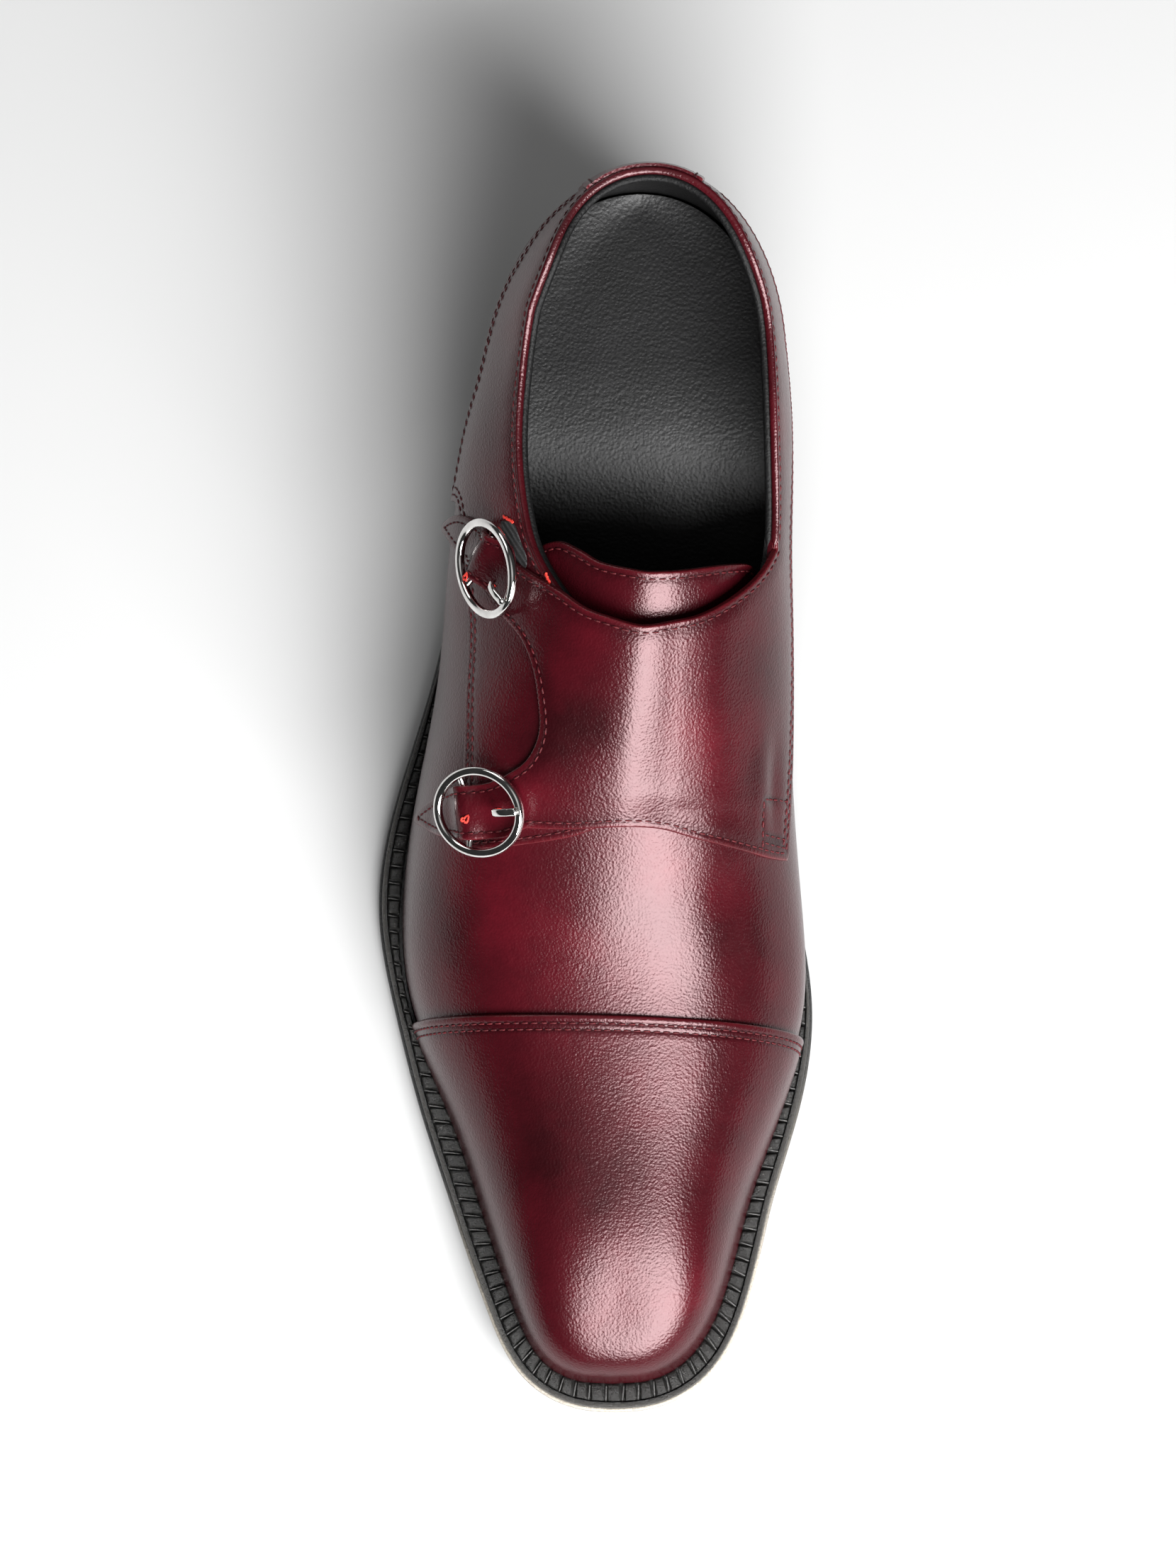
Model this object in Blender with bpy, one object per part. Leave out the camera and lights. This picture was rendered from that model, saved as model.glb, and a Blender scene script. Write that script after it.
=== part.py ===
"""Right double monk-strap shoe with a raised inner heel, EU 42.

Every leather piece is cut in one pair of coordinates and wrapped on the same last:
  along   millimetres from the back of the heel towards the toe
  around  0 on the crest of the foot, -1 on the lateral and +1 on the medial feather line
The toe points along -Y, the medial side lies on +X, and the shoe stands on Z = 0.
"""

import math

import bmesh
import bpy
import numpy as np
from mathutils import Matrix, Vector
from mathutils.geometry import delaunay_2d_cdt

MM = 0.001

# Driving sizes, millimetres.
LENGTH = 300.0  # outsole, heel to toe
HEEL_HEIGHT = 30.0  # floor to the outsole at the heel seat
TOP_LIFT = 6.0
BREAST = 74.0  # along value of the front face of the heel
FLAT = (165.0, 208.0)  # the outsole lies on the floor between these along values
TOE_SPRING = 10.0
OUTSOLE = 4.5
WELT = 3.0
WELT_END = 80.0
EDGE = 0.9  # the outsole stands out this far beyond the welt
LEAST_WELT = 1.0  # its width on top, where the upper overhangs it at the waist
GAP = 0.3
UPPER_WALL = 2.0
PANEL = 1.0  # leather laid over the upper
LAP = 0.45  # clearance under a panel, so that flat facets stay clear of curved ones
TUCK_RUN = (-0.03, 0.11)  # around values between which the flap climbs onto the lateral quarter
DROP_RUN = (-0.57, -0.47)  # and between which the lower strap drops off it again
TUCK = 2 * LAP + PANEL  # lift of the flap where it lies on the lateral quarter
TONGUE = (-4.2, -3.1)  # lifts of its two faces, inside the upper
INNER_HEEL = 62.0  # floor to the top of the insole at the heel: 28 mm of hidden lift
INSOLE_FRONT = 4.0
INSOLE_GAP = 0.7  # round it and under it
BUCKLE = {"long": 27.0, "wide": 22.3, "wire": 2.2, "bar": 1.6, "bar_ahead": 4.6, "bar_drop": 1.65}
PRONG = 1.5  # diameter

# Half-outline tables: along, lateral, medial (x of the edge, before the ends are rounded).
FEATHER = (
    (0, -20.5, 43.0),
    (30, -22.5, 43.0),
    (60, -26.0, 42.0),
    (90, -31.5, 39.0),
    (120, -37.0, 38.0),
    (150, -44.0, 42.5),
    (175, -47.5, 47.5),
    (200, -45.0, 49.5),
    (225, -35.4, 44.4),
    (250, -27.0, 36.4),
    (275, -21.0, 31.5),
    (300, -22.7, 29.3),
)
SOLE = (
    (0, -22.5, 45.0),
    (30, -24.5, 45.0),
    (60, -28.0, 44.0),
    (90, -34.0, 41.0),
    (120, -41.4, 40.5),
    (150, -51.0, 45.5),
    (175, -54.3, 51.0),
    (200, -50.1, 54.4),
    (225, -43.6, 50.9),
    (250, -35.4, 43.6),
    (275, -29.7, 40.0),
    (300, -31.6, 40.9),
)
# The crest of the last: along, sideways, height.
CREST = (
    (0, 11.5, 140.0),
    (30, 11.5, 139.0),
    (60, 11.5, 126.5),
    (90, 12.0, 109.5),
    (118, 12.0, 94.5),
    (140, 10.5, 82.5),
    (160, 9.0, 71.0),
    (180, 7.5, 60.5),
    (200, 6.5, 52.3),
    (220, 6.0, 47.0),
    (240, 5.6, 43.0),
    (260, 5.4, 39.6),
    (280, 5.2, 32.5),
    (300, 5.0, 24.0),
)
# The ribs: along, outward swell on each side, height share of the swell, flatness below the crest.
RIBS = (
    (0, 12.0, 9.0, 0.36, 0.35, 0.75),
    (30, 13.0, 7.5, 0.36, 0.30, 0.75),
    (60, 20.5, 13.0, 0.36, 0.10, 0.85),
    (90, 20.5, 20.5, 0.38, 0.17, 0.92),
    (120, 11.0, 24.5, 0.42, 0.48, 0.88),
    (150, 5.5, 20.0, 0.46, 0.76, 0.70),
    (175, 3.5, 14.0, 0.47, 0.76, 0.66),
    (200, 3.0, 10.0, 0.49, 0.72, 0.66),
    (225, 1.2, 4.0, 0.55, 0.70, 0.70),
    (250, -0.8, -0.4, 0.64, 0.75, 0.75),
    (275, -1.4, -1.4, 0.78, 0.81, 0.81),
    (300, -1.0, -1.0, 0.80, 0.83, 0.83),
)
# The collar: along, height on the lateral side, height on the medial side.
COLLAR = (
    (0, 107.5, 107.0),
    (15, 107.0, 106.5),
    (30, 105.0, 102.5),
    (44, 97.7, 95.3),
    (58, 92.1, 92.0),
    (73, 88.2, 87.6),
    (88, 86.0, 81.0),
    (98, 85.9, 78.5),
    (112, 89.5, 82.0),
    (128, 91.5, 91.5),
)
THROAT = 128.0
# The rounded ends: where the rounding starts, its length and power for each outline, the crest's own reach.
HEEL_END = {"centre": 42.0, "reach": 38.0, "sole_reach": 42.0, "power": 2.1, "sole_power": 2.1, "crest": 8.0}
TOE_END = {"centre": 252.0, "reach": 40.0, "sole_reach": 48.0, "power": 2.7, "sole_power": 2.3, "crest": 20.0}
BACK, TIP = HEEL_END["centre"] - HEEL_END["reach"], TOE_END["centre"] + TOE_END["reach"]

# Pattern outlines: (along, around) points joined by smooth curves.
FLAP_TOP = ((96.0, 0.500), (103.0, 0.410), (109.9, 0.290), (114.4, 0.180), (116.4, 0.075), (116.9, -0.020),
            (114.9, -0.120), (112.4, -0.205), (108.0, -0.292), (103.5, -0.382), (99.5, -0.450))
UPPER_STRAP = ((99.5, -0.450), (96.2, -0.466), (93.4, -0.501), (88.7, -0.588), (84.9, -0.690), (85.6, -0.810),
               (89.2, -0.738), (93.9, -0.665), (99.1, -0.592), (105.4, -0.522), (111.9, -0.455))
BAY = ((111.9, -0.455), (118.4, -0.370), (125.4, -0.307), (132.8, -0.262), (138.8, -0.237), (143.3, -0.237),
       (146.8, -0.255), (149.2, -0.295))
LOWER_STRAP = ((149.2, -0.295), (150.7, -0.350), (150.7, -0.443), (151.7, -0.532), (155.2, -0.705),
               (158.7, -0.610), (161.0, -0.530), (162.2, -0.455), (162.8, -0.387), (163.4, -0.282), (161.4, -0.223))
FLAP_FRONT = ((161.4, -0.223), (162.0, -0.125), (161.6, -0.027), (161.8, 0.032), (162.7, 0.113), (164.2, 0.198),
              (165.2, 0.280), (166.2, 0.375), (167.0, 0.485), (166.7, 0.585))
MEDIAL_EDGE = ((166.7, 0.585), (161.2, 0.600), (149.7, 0.627), (137.3, 0.647), (113.4, 0.667), (90.5, 0.670),
               (70.0, 0.700), (50.0, 0.720), (38.0, 0.680), (28.0, 0.620), (17.6, 0.540))
LATERAL_EDGE = ((17.0, -0.520), (23.9, -0.578), (28.9, -0.610), (35.3, -0.670), (43.0, -0.720), (52.7, -0.742),
                (61.7, -0.785), (70.5, -0.805), (79.0, -0.815))
LATERAL_FACING = ((79.0, -0.815), (84.1, -0.710), (107.5, -0.615), (125.4, -0.557), (145.3, -0.460), (165.8, -0.400))
LATERAL_FRONT = ((165.8, -0.400), (165.9, -0.325), (165.7, -0.255), (164.2, -0.127), (161.2, -0.045))
HIDDEN_FRONT = ((161.2, -0.045), (140.0, -0.060), (122.0, -0.110))
TONGUE_TOP = ((97.5, -0.460), (96.5, -0.415), (96.7, -0.367), (99.5, -0.302), (103.5, -0.208), (106.5, -0.042),
              (106.5, 0.085), (105.0, 0.205), (102.5, 0.340), (101.0, 0.435), (102.0, 0.480))
TONGUE_FOOT = ((102.0, 0.480), (125.0, 0.420), (150.0, 0.300), (150.0, -0.300), (125.0, -0.420), (97.5, -0.460))
CAP_LINE = {"middle": 205.7, "skew": 2.6}
CAP_RIBS = 9  # of the cells of the girth, on each side, before the cap's foot
CAP_CLEAR = 0.6  # above the welt
BACK_STRIP = {"top": 12.4, "foot": 8.9, "end": 0.96}  # half widths, and the around value of its foot

LINES = (8, 12, 17, 23, 30, 38, 46, 55, 64, 73, 82, 91, 100, 109, 118, 127, 136, 145, 154, 163, 172, 181, 190,
         199, 208, 217, 226, 235, 244, 252, 259, 266, 273, 279, 284, 288, 290.5)  # stations of the leather
GIRTH_CELLS = 11
GIRTH = 80.0  # millimetres of leather in one unit of around, near enough to space a pattern's points
THROAT_LINES = (120.5, 122.5, 124.5, 126.0)  # more stations, where the opening narrows to a point
CREST_END = 0.02  # around value that gives the ends of the crest their normal
CROWD = 3.0  # no grid point this near one that is placed by hand

BAR_RISE = 3.0  # how far the straps ride up over the bars
BAR_SPREAD = 3.5  # half length of that rise
STRAP_ROWS = (-14.0, -9.0, -6.5, -4.5, -2.3, 0.0, 2.3, 4.5, 7.0, 11.0)  # from the bar, towards the strap's tip

MATERIALS = {  # colour, roughness, metallic
    "burgundy_leather": ((0.16, 0.012, 0.018), 0.35, 0.0),
    "black_leather": ((0.012, 0.012, 0.013), 0.5, 0.0),
    "black_rubber": ((0.010, 0.010, 0.010), 0.65, 0.0),
    "polished_nickel": ((0.80, 0.79, 0.77), 0.08, 1.0),
}


# ---- curves and the last -------------------------------------------------------------------------


def spline(xs, ys):
    """The natural cubic through the points, as a function."""
    xs, ys = np.asarray(xs, float), np.asarray(ys, float)
    h, last = np.diff(xs), len(xs) - 1
    system, right = np.eye(last + 1), np.zeros(last + 1)
    for i in range(1, last):
        system[i, i - 1 : i + 2] = h[i - 1], 2 * (h[i - 1] + h[i]), h[i]
        right[i] = 6 * ((ys[i + 1] - ys[i]) / h[i] - (ys[i] - ys[i - 1]) / h[i - 1])
    bend = np.linalg.solve(system, right)

    def at(x):
        x = np.asarray(x, float)
        i = np.clip(np.searchsorted(xs, x) - 1, 0, last - 1)
        t, s = x - xs[i], xs[i + 1] - x
        cubic = (bend[i] * s**3 + bend[i + 1] * t**3) / (6 * h[i])
        low, high = ys[i] / h[i] - bend[i] * h[i] / 6, ys[i + 1] / h[i] - bend[i + 1] * h[i] / 6
        return cubic + low * s + high * t

    return at


def columns(table):
    """One spline for each column after the first."""
    rows = np.asarray(table, float)
    return [spline(rows[:, 0], rows[:, k]) for k in range(1, rows.shape[1])]


feather_lateral, feather_medial = columns(FEATHER)
sole_lateral, sole_medial = columns(SOLE)
crest_side, crest_height = columns(CREST)
swell_lateral, swell_medial, swell_height, flat_lateral, flat_medial = columns(RIBS)
collar_lateral, collar_medial = columns(COLLAR)


def smooth(t):
    t = np.clip(t, 0, 1)
    return t * t * (3 - 2 * t)


def sole_under(along):
    """Height of the outsole's lower face: heel seat, arch, flat forefoot, toe spring."""
    rise = HEEL_HEIGHT * smooth((FLAT[0] - along) / (FLAT[0] - 60))
    spring = np.clip((along - FLAT[1]) / (LENGTH - FLAT[1]), 0, None) ** 1.7
    return rise + TOE_SPRING * spring


def end_angles(along):
    """How far round the heel and the toe a walk along one side has gone, 0 to a right angle."""
    heel = np.clip((HEEL_END["centre"] - along) / HEEL_END["reach"], 0, 1) * math.pi / 2
    toe = np.clip((along - TOE_END["centre"]) / TOE_END["reach"], 0, 1) * math.pi / 2
    return heel, toe


def place(along, key):
    """The along position of a walk on the outline (key reach or sole_reach) or on the crest (crest)."""
    heel, toe = end_angles(along)
    back = HEEL_END["centre"] - HEEL_END[key] * np.sin(heel)
    front = TOE_END["centre"] + TOE_END[key] * np.sin(toe)
    return np.where(heel > 0, back, np.where(toe > 0, front, along))


def closing(along, key):
    """Share of the half width left as the outline rounds off at its ends."""
    power = key.replace("reach", "power")
    heel, toe = end_angles(along)
    share = 1.0
    for angle, end in ((heel, HEEL_END), (toe, TOE_END)):
        share = share * np.clip(1 - np.sin(angle) ** end[power], 0, 1) ** (1 / end[power])
    return share


def outline(along, side, lateral, medial, key):
    """x and along of a walk on one side of an outline."""
    at = place(along, key)
    middle, half = (lateral(at) + medial(at)) / 2, (medial(at) - lateral(at)) / 2
    return middle + side * half * closing(along, key), at


def last_point(along, around):
    """The skin of the last in millimetres. Past either end it carries on round to the other side."""
    along, around = np.broadcast_arrays(np.asarray(along, float), np.asarray(around, float))
    past = (along > TIP) | (along < BACK)
    around = np.where(past, -around, around)
    along = np.where(along > TIP, 2 * TIP - along, np.where(along < BACK, 2 * BACK - along, along))
    side, up = np.where(around < 0, -1.0, 1.0), 1 - np.abs(around)
    foot_x, foot_at = outline(along, side, feather_lateral, feather_medial, "reach")
    foot_z = sole_under(foot_at) + OUTSOLE + 2 * GAP
    head_at = place(along, "crest")
    head_x, head_z = crest_side(head_at), crest_height(head_at)
    slope = (crest_height(head_at + 1) - crest_height(head_at - 1)) / 2
    span_x, span_y = foot_x - head_x, foot_at - head_at
    span = np.hypot(span_x, span_y) + 1e-9
    own = np.clip(side * span_x / span * 0.5 + 0.5, 0, 1)
    lateral_share = np.where(side < 0, own, 1 - own)

    def mixed(lateral, medial):
        return lateral(foot_at) * lateral_share + medial(foot_at) * (1 - lateral_share)

    swell, flat = mixed(swell_lateral, swell_medial), mixed(flat_lateral, flat_medial)
    rib = (
        (foot_x, foot_at, foot_z),
        (
            foot_x + span_x / span * swell,
            foot_at + span_y / span * swell,
            foot_z + swell_height(foot_at) * (head_z - foot_z),
        ),
        (head_x + span_x * flat, head_at + span_y * flat, head_z + slope * span_y * flat),
        (head_x, head_at, head_z),
    )
    weights = ((1 - up) ** 3, 3 * (1 - up) ** 2 * up, 3 * (1 - up) * up**2, up**3)
    x, at, z = (sum(w * p[k] for w, p in zip(weights, rib)) for k in range(3))
    return np.stack([x, LENGTH / 2 - at, z], -1)


def skin_normal(along, around):
    around = np.asarray(around, float)
    ends = (along > TIP - 1) | (along < BACK + 1)  # both sides share one rib there, which has no width on the crest
    around = np.where(ends & (np.abs(around) < CREST_END), CREST_END, around)
    ahead = last_point(along + 0.25, around) - last_point(along - 0.25, around)
    outer, inner = np.minimum(around + 2e-3, 1), np.maximum(around - 2e-3, -1)
    normal = np.cross(ahead, last_point(along, outer) - last_point(along, inner))
    return normal / (np.linalg.norm(normal, axis=-1, keepdims=True) + 1e-12)


def skin(along, around, lift):
    """A point of the last, raised by lift along its normal."""
    along = np.clip(np.asarray(along, float), 2 * BACK - TIP, 2 * TIP - BACK)
    return last_point(along, around) + skin_normal(along, around) * np.asarray(lift, float)[..., None]


def around_at(along, side, height, lift=0.0):
    """The around value where a rib reaches this height, by halving."""
    along, height = np.broadcast_arrays(np.asarray(along, float), np.asarray(height, float))
    low, high = np.zeros(along.shape), np.ones(along.shape)
    for _ in range(30):
        middle = (low + high) / 2
        under = skin(along, side * (1 - middle), np.full(along.shape, lift))[..., 2] < height
        low, high = np.where(under, middle, low), np.where(under, high, middle)
    return side * (1 - (low + high) / 2)


def collar_around(along, side):
    """Where the collar crosses a rib. Both sides meet at one height over the back seam."""
    at = np.clip(place(along, "reach"), 0, THROAT)
    own, other = (collar_lateral(at), collar_medial(at))[:: 1 if side < 0 else -1]
    share = 0.5 + 0.5 * smooth((at - BACK) / 16)
    return around_at(along, side, own * share + other * (1 - share))


def through(points, per_span=3):
    """A smooth curve through pattern points (Catmull-Rom), without its last point."""
    p = np.asarray(points, float)
    p = np.vstack([2 * p[0] - p[1], p, 2 * p[-1] - p[-2]])
    out = []
    for i in range(1, len(p) - 2):
        for t in np.arange(per_span) / per_span:
            a, b, c, d = p[i - 1 : i + 3]
            out.append(b + t * (c - a) / 2 + t**2 * (a - 2.5 * b + 2 * c - d / 2) + t**3 * (d - a + 3 * (b - c)) / 2)
    return out


# ---- Blender helpers -----------------------------------------------------------------------------


def clear_scene():
    for thing in list(bpy.data.objects):
        bpy.data.objects.remove(thing, do_unlink=True)


def collection(name):
    made = bpy.data.collections.new(name)
    bpy.context.scene.collection.children.link(made)
    return made


def material(name):
    if name in bpy.data.materials:
        return bpy.data.materials[name]
    colour, roughness, metallic = MATERIALS[name]
    made = bpy.data.materials.new(name)
    made.use_nodes = True
    principled = made.node_tree.nodes["Principled BSDF"]
    principled.inputs["Base Color"].default_value = (*colour, 1)
    principled.inputs["Roughness"].default_value = roughness
    principled.inputs["Metallic"].default_value = metallic
    return made


def mesh_object(name, points, faces, material_name, folder):
    """An object from points in millimetres, coincident points merged and faces turned out."""
    work = bmesh.new()
    corners = [work.verts.new(Vector(p) * MM) for p in np.asarray(points).reshape(-1, 3)]
    for face in faces:
        work.faces.new([corners[i] for i in face])
    bmesh.ops.delete(work, geom=[v for v in work.verts if not v.link_faces], context="VERTS")
    bmesh.ops.remove_doubles(work, verts=work.verts, dist=2e-6)
    bmesh.ops.dissolve_degenerate(work, edges=work.edges, dist=1e-6)
    bmesh.ops.recalc_face_normals(work, faces=work.faces)
    mesh = bpy.data.meshes.new(name)
    work.to_mesh(mesh)
    work.free()
    mesh.materials.append(material(material_name))
    mesh.shade_smooth()
    mesh.set_sharp_from_angle(angle=math.radians(40))
    made = bpy.data.objects.new(name, mesh)
    folder.objects.link(made)
    return made


def grid_faces(rows, cols, first=0, closed=False):
    """Quads between neighbouring rows of points."""
    faces = []
    for i in range(rows - 1):
        for j in range(cols if closed else cols - 1):
            k = (j + 1) % cols
            a, b = first + i * cols, first + (i + 1) * cols
            faces.append((a + j, a + k, b + k, b + j))
    return faces


def joined(points):
    """For each point, the number of the point kept at its place. Points are in millimetres."""
    work = bmesh.new()
    corners = [work.verts.new(p) for p in points]
    same = bmesh.ops.find_doubles(work, verts=work.verts, dist=1e-3)["targetmap"]
    number = {corner: i for i, corner in enumerate(corners)}
    kept = [number[same.get(corner, corner)] for corner in corners]
    work.free()
    return kept


def between(name, low, high, faces, material_name, folder):
    """A solid between two matching sheets of points, closed by a strip along every free edge."""
    kept, count, uses, solid = joined(high), len(high), {}, []
    for face in faces:
        face = tuple(dict.fromkeys(kept[i] for i in face))
        if len(face) < 3:
            continue
        solid += [face, tuple(i + count for i in reversed(face))]
        for edge in zip(face, face[1:] + face[:1]):
            key = tuple(sorted(edge))
            uses[key] = uses.get(key, 0) + 1
    solid += [(b, a, a + count, b + count) for (a, b), n in uses.items() if n == 1]
    return mesh_object(name, np.vstack([low, high]), solid, material_name, folder)


def wrap(name, alongs, arounds, lifts, folder):
    """Leather between two lifts, from grids of places on the last: (grid, row, column)."""
    alongs, arounds = np.broadcast_arrays(np.asarray(alongs, float), np.asarray(arounds, float))
    grids, rows, cols = alongs.shape
    faces = [face for k in range(grids) for face in grid_faces(rows, cols, k * rows * cols)]
    low, high = (skin(alongs.ravel(), arounds.ravel(), np.full(alongs.size, lift)) for lift in lifts)
    return between(name, low, high, faces, "burgundy_leather", folder)


def slab(name, rows, material_name, folder):
    """A solid from closed loops of points, each row one cross-section. The ends are filled."""
    rows = np.asarray(rows, float)
    count, around, _ = rows.shape
    faces = grid_faces(count, around, closed=True)
    for row in (0, count - 1):
        if np.ptp(rows[row, :, 0]) > 0.01:
            faces.append(tuple(row * around + j for j in range(around)))
    return mesh_object(name, rows, faces, material_name, folder)


def pattern(name, loop, lifts, material_name, folder, girth_step=0.08, extra=()):
    """A flat pattern cut on (along, around), wrapped on the last between two lifts.

    lifts(along, around) gives the lift of the inner and of the outer face. The extra places are kept
    as corners of the mesh, where the leather rises or dips more than its grid would follow."""
    scale = np.array([1.0, GIRTH])
    flat = np.asarray(loop, float) * scale
    extra = np.asarray(extra, float).reshape(-1, 2) * scale
    inner = [place for place in extra if inside(flat, *place, 0.5)]
    for along in LINES:
        for around in np.arange(-1, 1.01, girth_step) * GIRTH:
            crowd = np.hypot(*(extra - (along, around)).T).min() if len(extra) else CROWD
            if crowd >= CROWD and inside(flat, along, around, 2.0):
                inner.append((along, around))
    seeds = [Vector(p) for p in [*flat, *inner]]
    edge = [(i, (i + 1) % len(flat)) for i in range(len(flat))]
    points, _, faces, *_ = delaunay_2d_cdt(seeds, edge, [], 1, 1e-4)
    places = np.array([tuple(p) for p in points]) / scale
    low, high = lifts(places[:, 0], places[:, 1])
    sheets = (skin(places[:, 0], places[:, 1], lift) for lift in (low, high))
    return between(name, *sheets, faces, material_name, folder)


def inside(polygon, x, y, margin):
    """Whether (x, y) lies in the polygon and this far from its edge."""
    a, b = polygon, np.roll(polygon, -1, 0)
    crosses = (a[:, 1] > y) != (b[:, 1] > y)
    with np.errstate(divide="ignore", invalid="ignore"):
        hit = x < (b[:, 0] - a[:, 0]) * (y - a[:, 1]) / (b[:, 1] - a[:, 1]) + a[:, 0]
    span = b - a
    share = np.clip(((x - a[:, 0]) * span[:, 0] + (y - a[:, 1]) * span[:, 1]) / (span**2).sum(1), 0, 1)
    near = np.hypot(a[:, 0] + share * span[:, 0] - x, a[:, 1] + share * span[:, 1] - y).min()
    return bool((crosses & hit).sum() % 2) and near > margin


# ---- the bottom ----------------------------------------------------------------------------------

SOLE_WALK = np.concatenate([BACK + np.array([0.0, 3, 7, 12, 18, 26, 36]), np.arange(50, 252, 10),
                            TOE_END["centre"] + np.array([0.0, 6, 12, 18, 24, 29, 33, 36, 38.4, 40])])


def sole_rows(walk, bottom, top, inset=0.0, columns_across=4):
    """Cross-sections of a layer that follows the outsole's outline."""
    rows = []
    for along in walk:
        (left, at), (right, _) = (outline(along, s, sole_lateral, sole_medial, "sole_reach") for s in (-1, 1))
        narrow = min(inset, (right - left) / 2)
        y = LENGTH / 2 - at
        xs = np.linspace(left + narrow, right - narrow, columns_across + 1)
        rows.append([(x, y, bottom(at)) for x in xs] + [(x, y, top(at)) for x in xs[::-1]])
    return rows


def make_outsole(folder):
    rows = sole_rows(SOLE_WALK, sole_under, lambda at: sole_under(at) + OUTSOLE)
    return slab("outsole", rows, "black_leather", folder)


def make_heel(folder):
    """The stacked heel and its top lift, ending in the upright breast."""
    walk = [*(w for w in SOLE_WALK if w < BREAST - 6), BREAST]
    stack = sole_rows(walk, lambda at: TOP_LIFT + GAP, lambda at: sole_under(at) - GAP, inset=0.6)
    slab("heel_stack", stack, "black_leather", folder)
    lift = sole_rows(walk, lambda at: 0.0, lambda at: TOP_LIFT, inset=1.0)
    slab("heel_top_lift", lift, "black_rubber", folder)


def make_welt(folder):
    """The stitched strip on the outsole, from the breast round the toe and back."""
    toe = SOLE_WALK[SOLE_WALK > TOE_END["centre"]]
    walk = np.unique([*(w for w in LINES if w >= WELT_END), *toe])
    trip = [(w, -1) for w in walk] + [(w, 1) for w in walk[-2::-1]]
    rows = []
    for along, side in trip:
        x, at = outline(along, side, sole_lateral, sole_medial, "sole_reach")
        edge = np.array([x, LENGTH / 2 - at])
        foot = skin(along, side * 1.0, GAP)
        knee = skin(along, around_at(along, side, foot[2] + WELT, GAP), GAP)
        out = edge - foot[:2]
        width = np.linalg.norm(out)
        out = out / width
        lean = np.dot(knee[:2] - foot[:2], out)
        reach = max(width - EDGE, lean + LEAST_WELT)
        rim = foot[:2] + out * reach
        section = ((foot, 0), (rim, 0), (rim, WELT), (knee, WELT))
        rows.append([(*p[:2], sole_under(LENGTH / 2 - p[1]) + OUTSOLE + GAP + up) for p, up in section])
    return slab("welt", rows, "black_leather", folder)


def make_insole(folder):
    """The raised footbed: a wedge under the heel that fills the inside of the upper."""
    walk = np.concatenate([BACK + np.array([0.0, 4, 9, 15, 22, 30, 38]), np.arange(52, 252, 12),
                           TOE_END["centre"] + np.array([0.0, 9, 18, 26, 32, 36.5, 40])])
    clear = UPPER_WALL + INSOLE_GAP
    rows = []
    for along in walk:
        sides = {}
        for side in (-1, 1):
            at = place(along, "reach")
            floor = float(sole_under(at)) + OUTSOLE + INSOLE_GAP
            rise = INNER_HEEL - HEEL_HEIGHT - OUTSOLE - INSOLE_FRONT - INSOLE_GAP
            top = floor + INSOLE_FRONT + rise * float(smooth((150 - at) / 105))
            heights = np.linspace(floor + 0.8, top, 4)
            walls = np.full(4, float(along))
            wall = skin(walls, around_at(walls, side, heights, -clear), np.full(4, -clear))
            wall[:, 2] = heights
            foot = wall[0].copy()
            foot[2] = floor
            sides[side] = np.vstack([foot, wall])
        middle = (sides[-1][-1] + sides[1][-1]) / 2
        for side in (-1, 1):
            crossed = (sides[side][:, 0] - middle[0]) * side < 0
            sides[side][crossed | (along in (BACK, TIP)), 0] = middle[0]
        top = [sides[1][-1] * (1 - t) + sides[-1][-1] * t for t in (0.33, 0.67)]
        rows.append([*sides[1], *top, *sides[-1][::-1]])
    return slab("insole", rows, "black_leather", folder)


# ---- the upper and what is laid on it ------------------------------------------------------------


def make_upper(folder):
    """The hollow body: open at the collar and underneath, closed over the vamp and the toe."""
    walk = np.sort(np.array([BACK, *LINES, *THROAT_LINES, THROAT, TIP], float))[:, None]
    share = np.linspace(0, 1, GIRTH_CELLS + 1)
    arounds = []
    for side in (-1, 1):
        top = np.where(walk < THROAT, collar_around(walk, side), 0.0)
        arounds.append(side * (1 - share) + top * share)
    return wrap("upper", walk, arounds, (-UPPER_WALL, 0.0), folder)


def make_toe_cap(folder):
    """The cap, on the stations and ribs of the upper so that their facets run side by side."""
    first = CAP_LINE["middle"]
    stations = np.array([first, *(along for along in LINES if along > first + CAP_LINE["skew"] + 2), TIP])
    clear = sole_under(place(stations, "reach")) + OUTSOLE + GAP + WELT + CAP_CLEAR
    arounds = []
    for side in (-1, 1):
        foot = around_at(stations, side, clear, LAP)[:, None]
        ribs = side * np.arange(CAP_RIBS, -1, -1) / GIRTH_CELLS
        arounds.append(np.hstack([foot, np.tile(ribs, (len(stations), 1))]))
    arounds = np.array(arounds)
    alongs = np.broadcast_to(stations[:, None], arounds.shape).copy()
    alongs[:, 0] += CAP_LINE["skew"] * arounds[:, 0]
    return wrap("toe_cap", alongs, arounds, (LAP, LAP + PANEL), folder)


def make_back_strip(folder):
    """The strip over the back seam. It runs round the heel's end, so it is cut on medial values."""
    share = np.linspace(0, 1, 8)[:, None]
    alongs = BACK + (BACK_STRIP["top"] + (BACK_STRIP["foot"] - BACK_STRIP["top"]) * share) * np.linspace(-1, 1, 9)
    mirrored = np.where(alongs < BACK, 2 * BACK - alongs, alongs)
    tops = np.where(alongs < BACK, -collar_around(mirrored, -1), collar_around(mirrored, 1))
    arounds = tops + (BACK_STRIP["end"] - tops) * share
    return wrap("back_strip", alongs[None], arounds[None], (LAP, LAP + PANEL), folder)


def collar_run(start, stop, side, count):
    alongs = np.linspace(start, stop, count)
    return list(zip(alongs, collar_around(alongs, side)))


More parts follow.
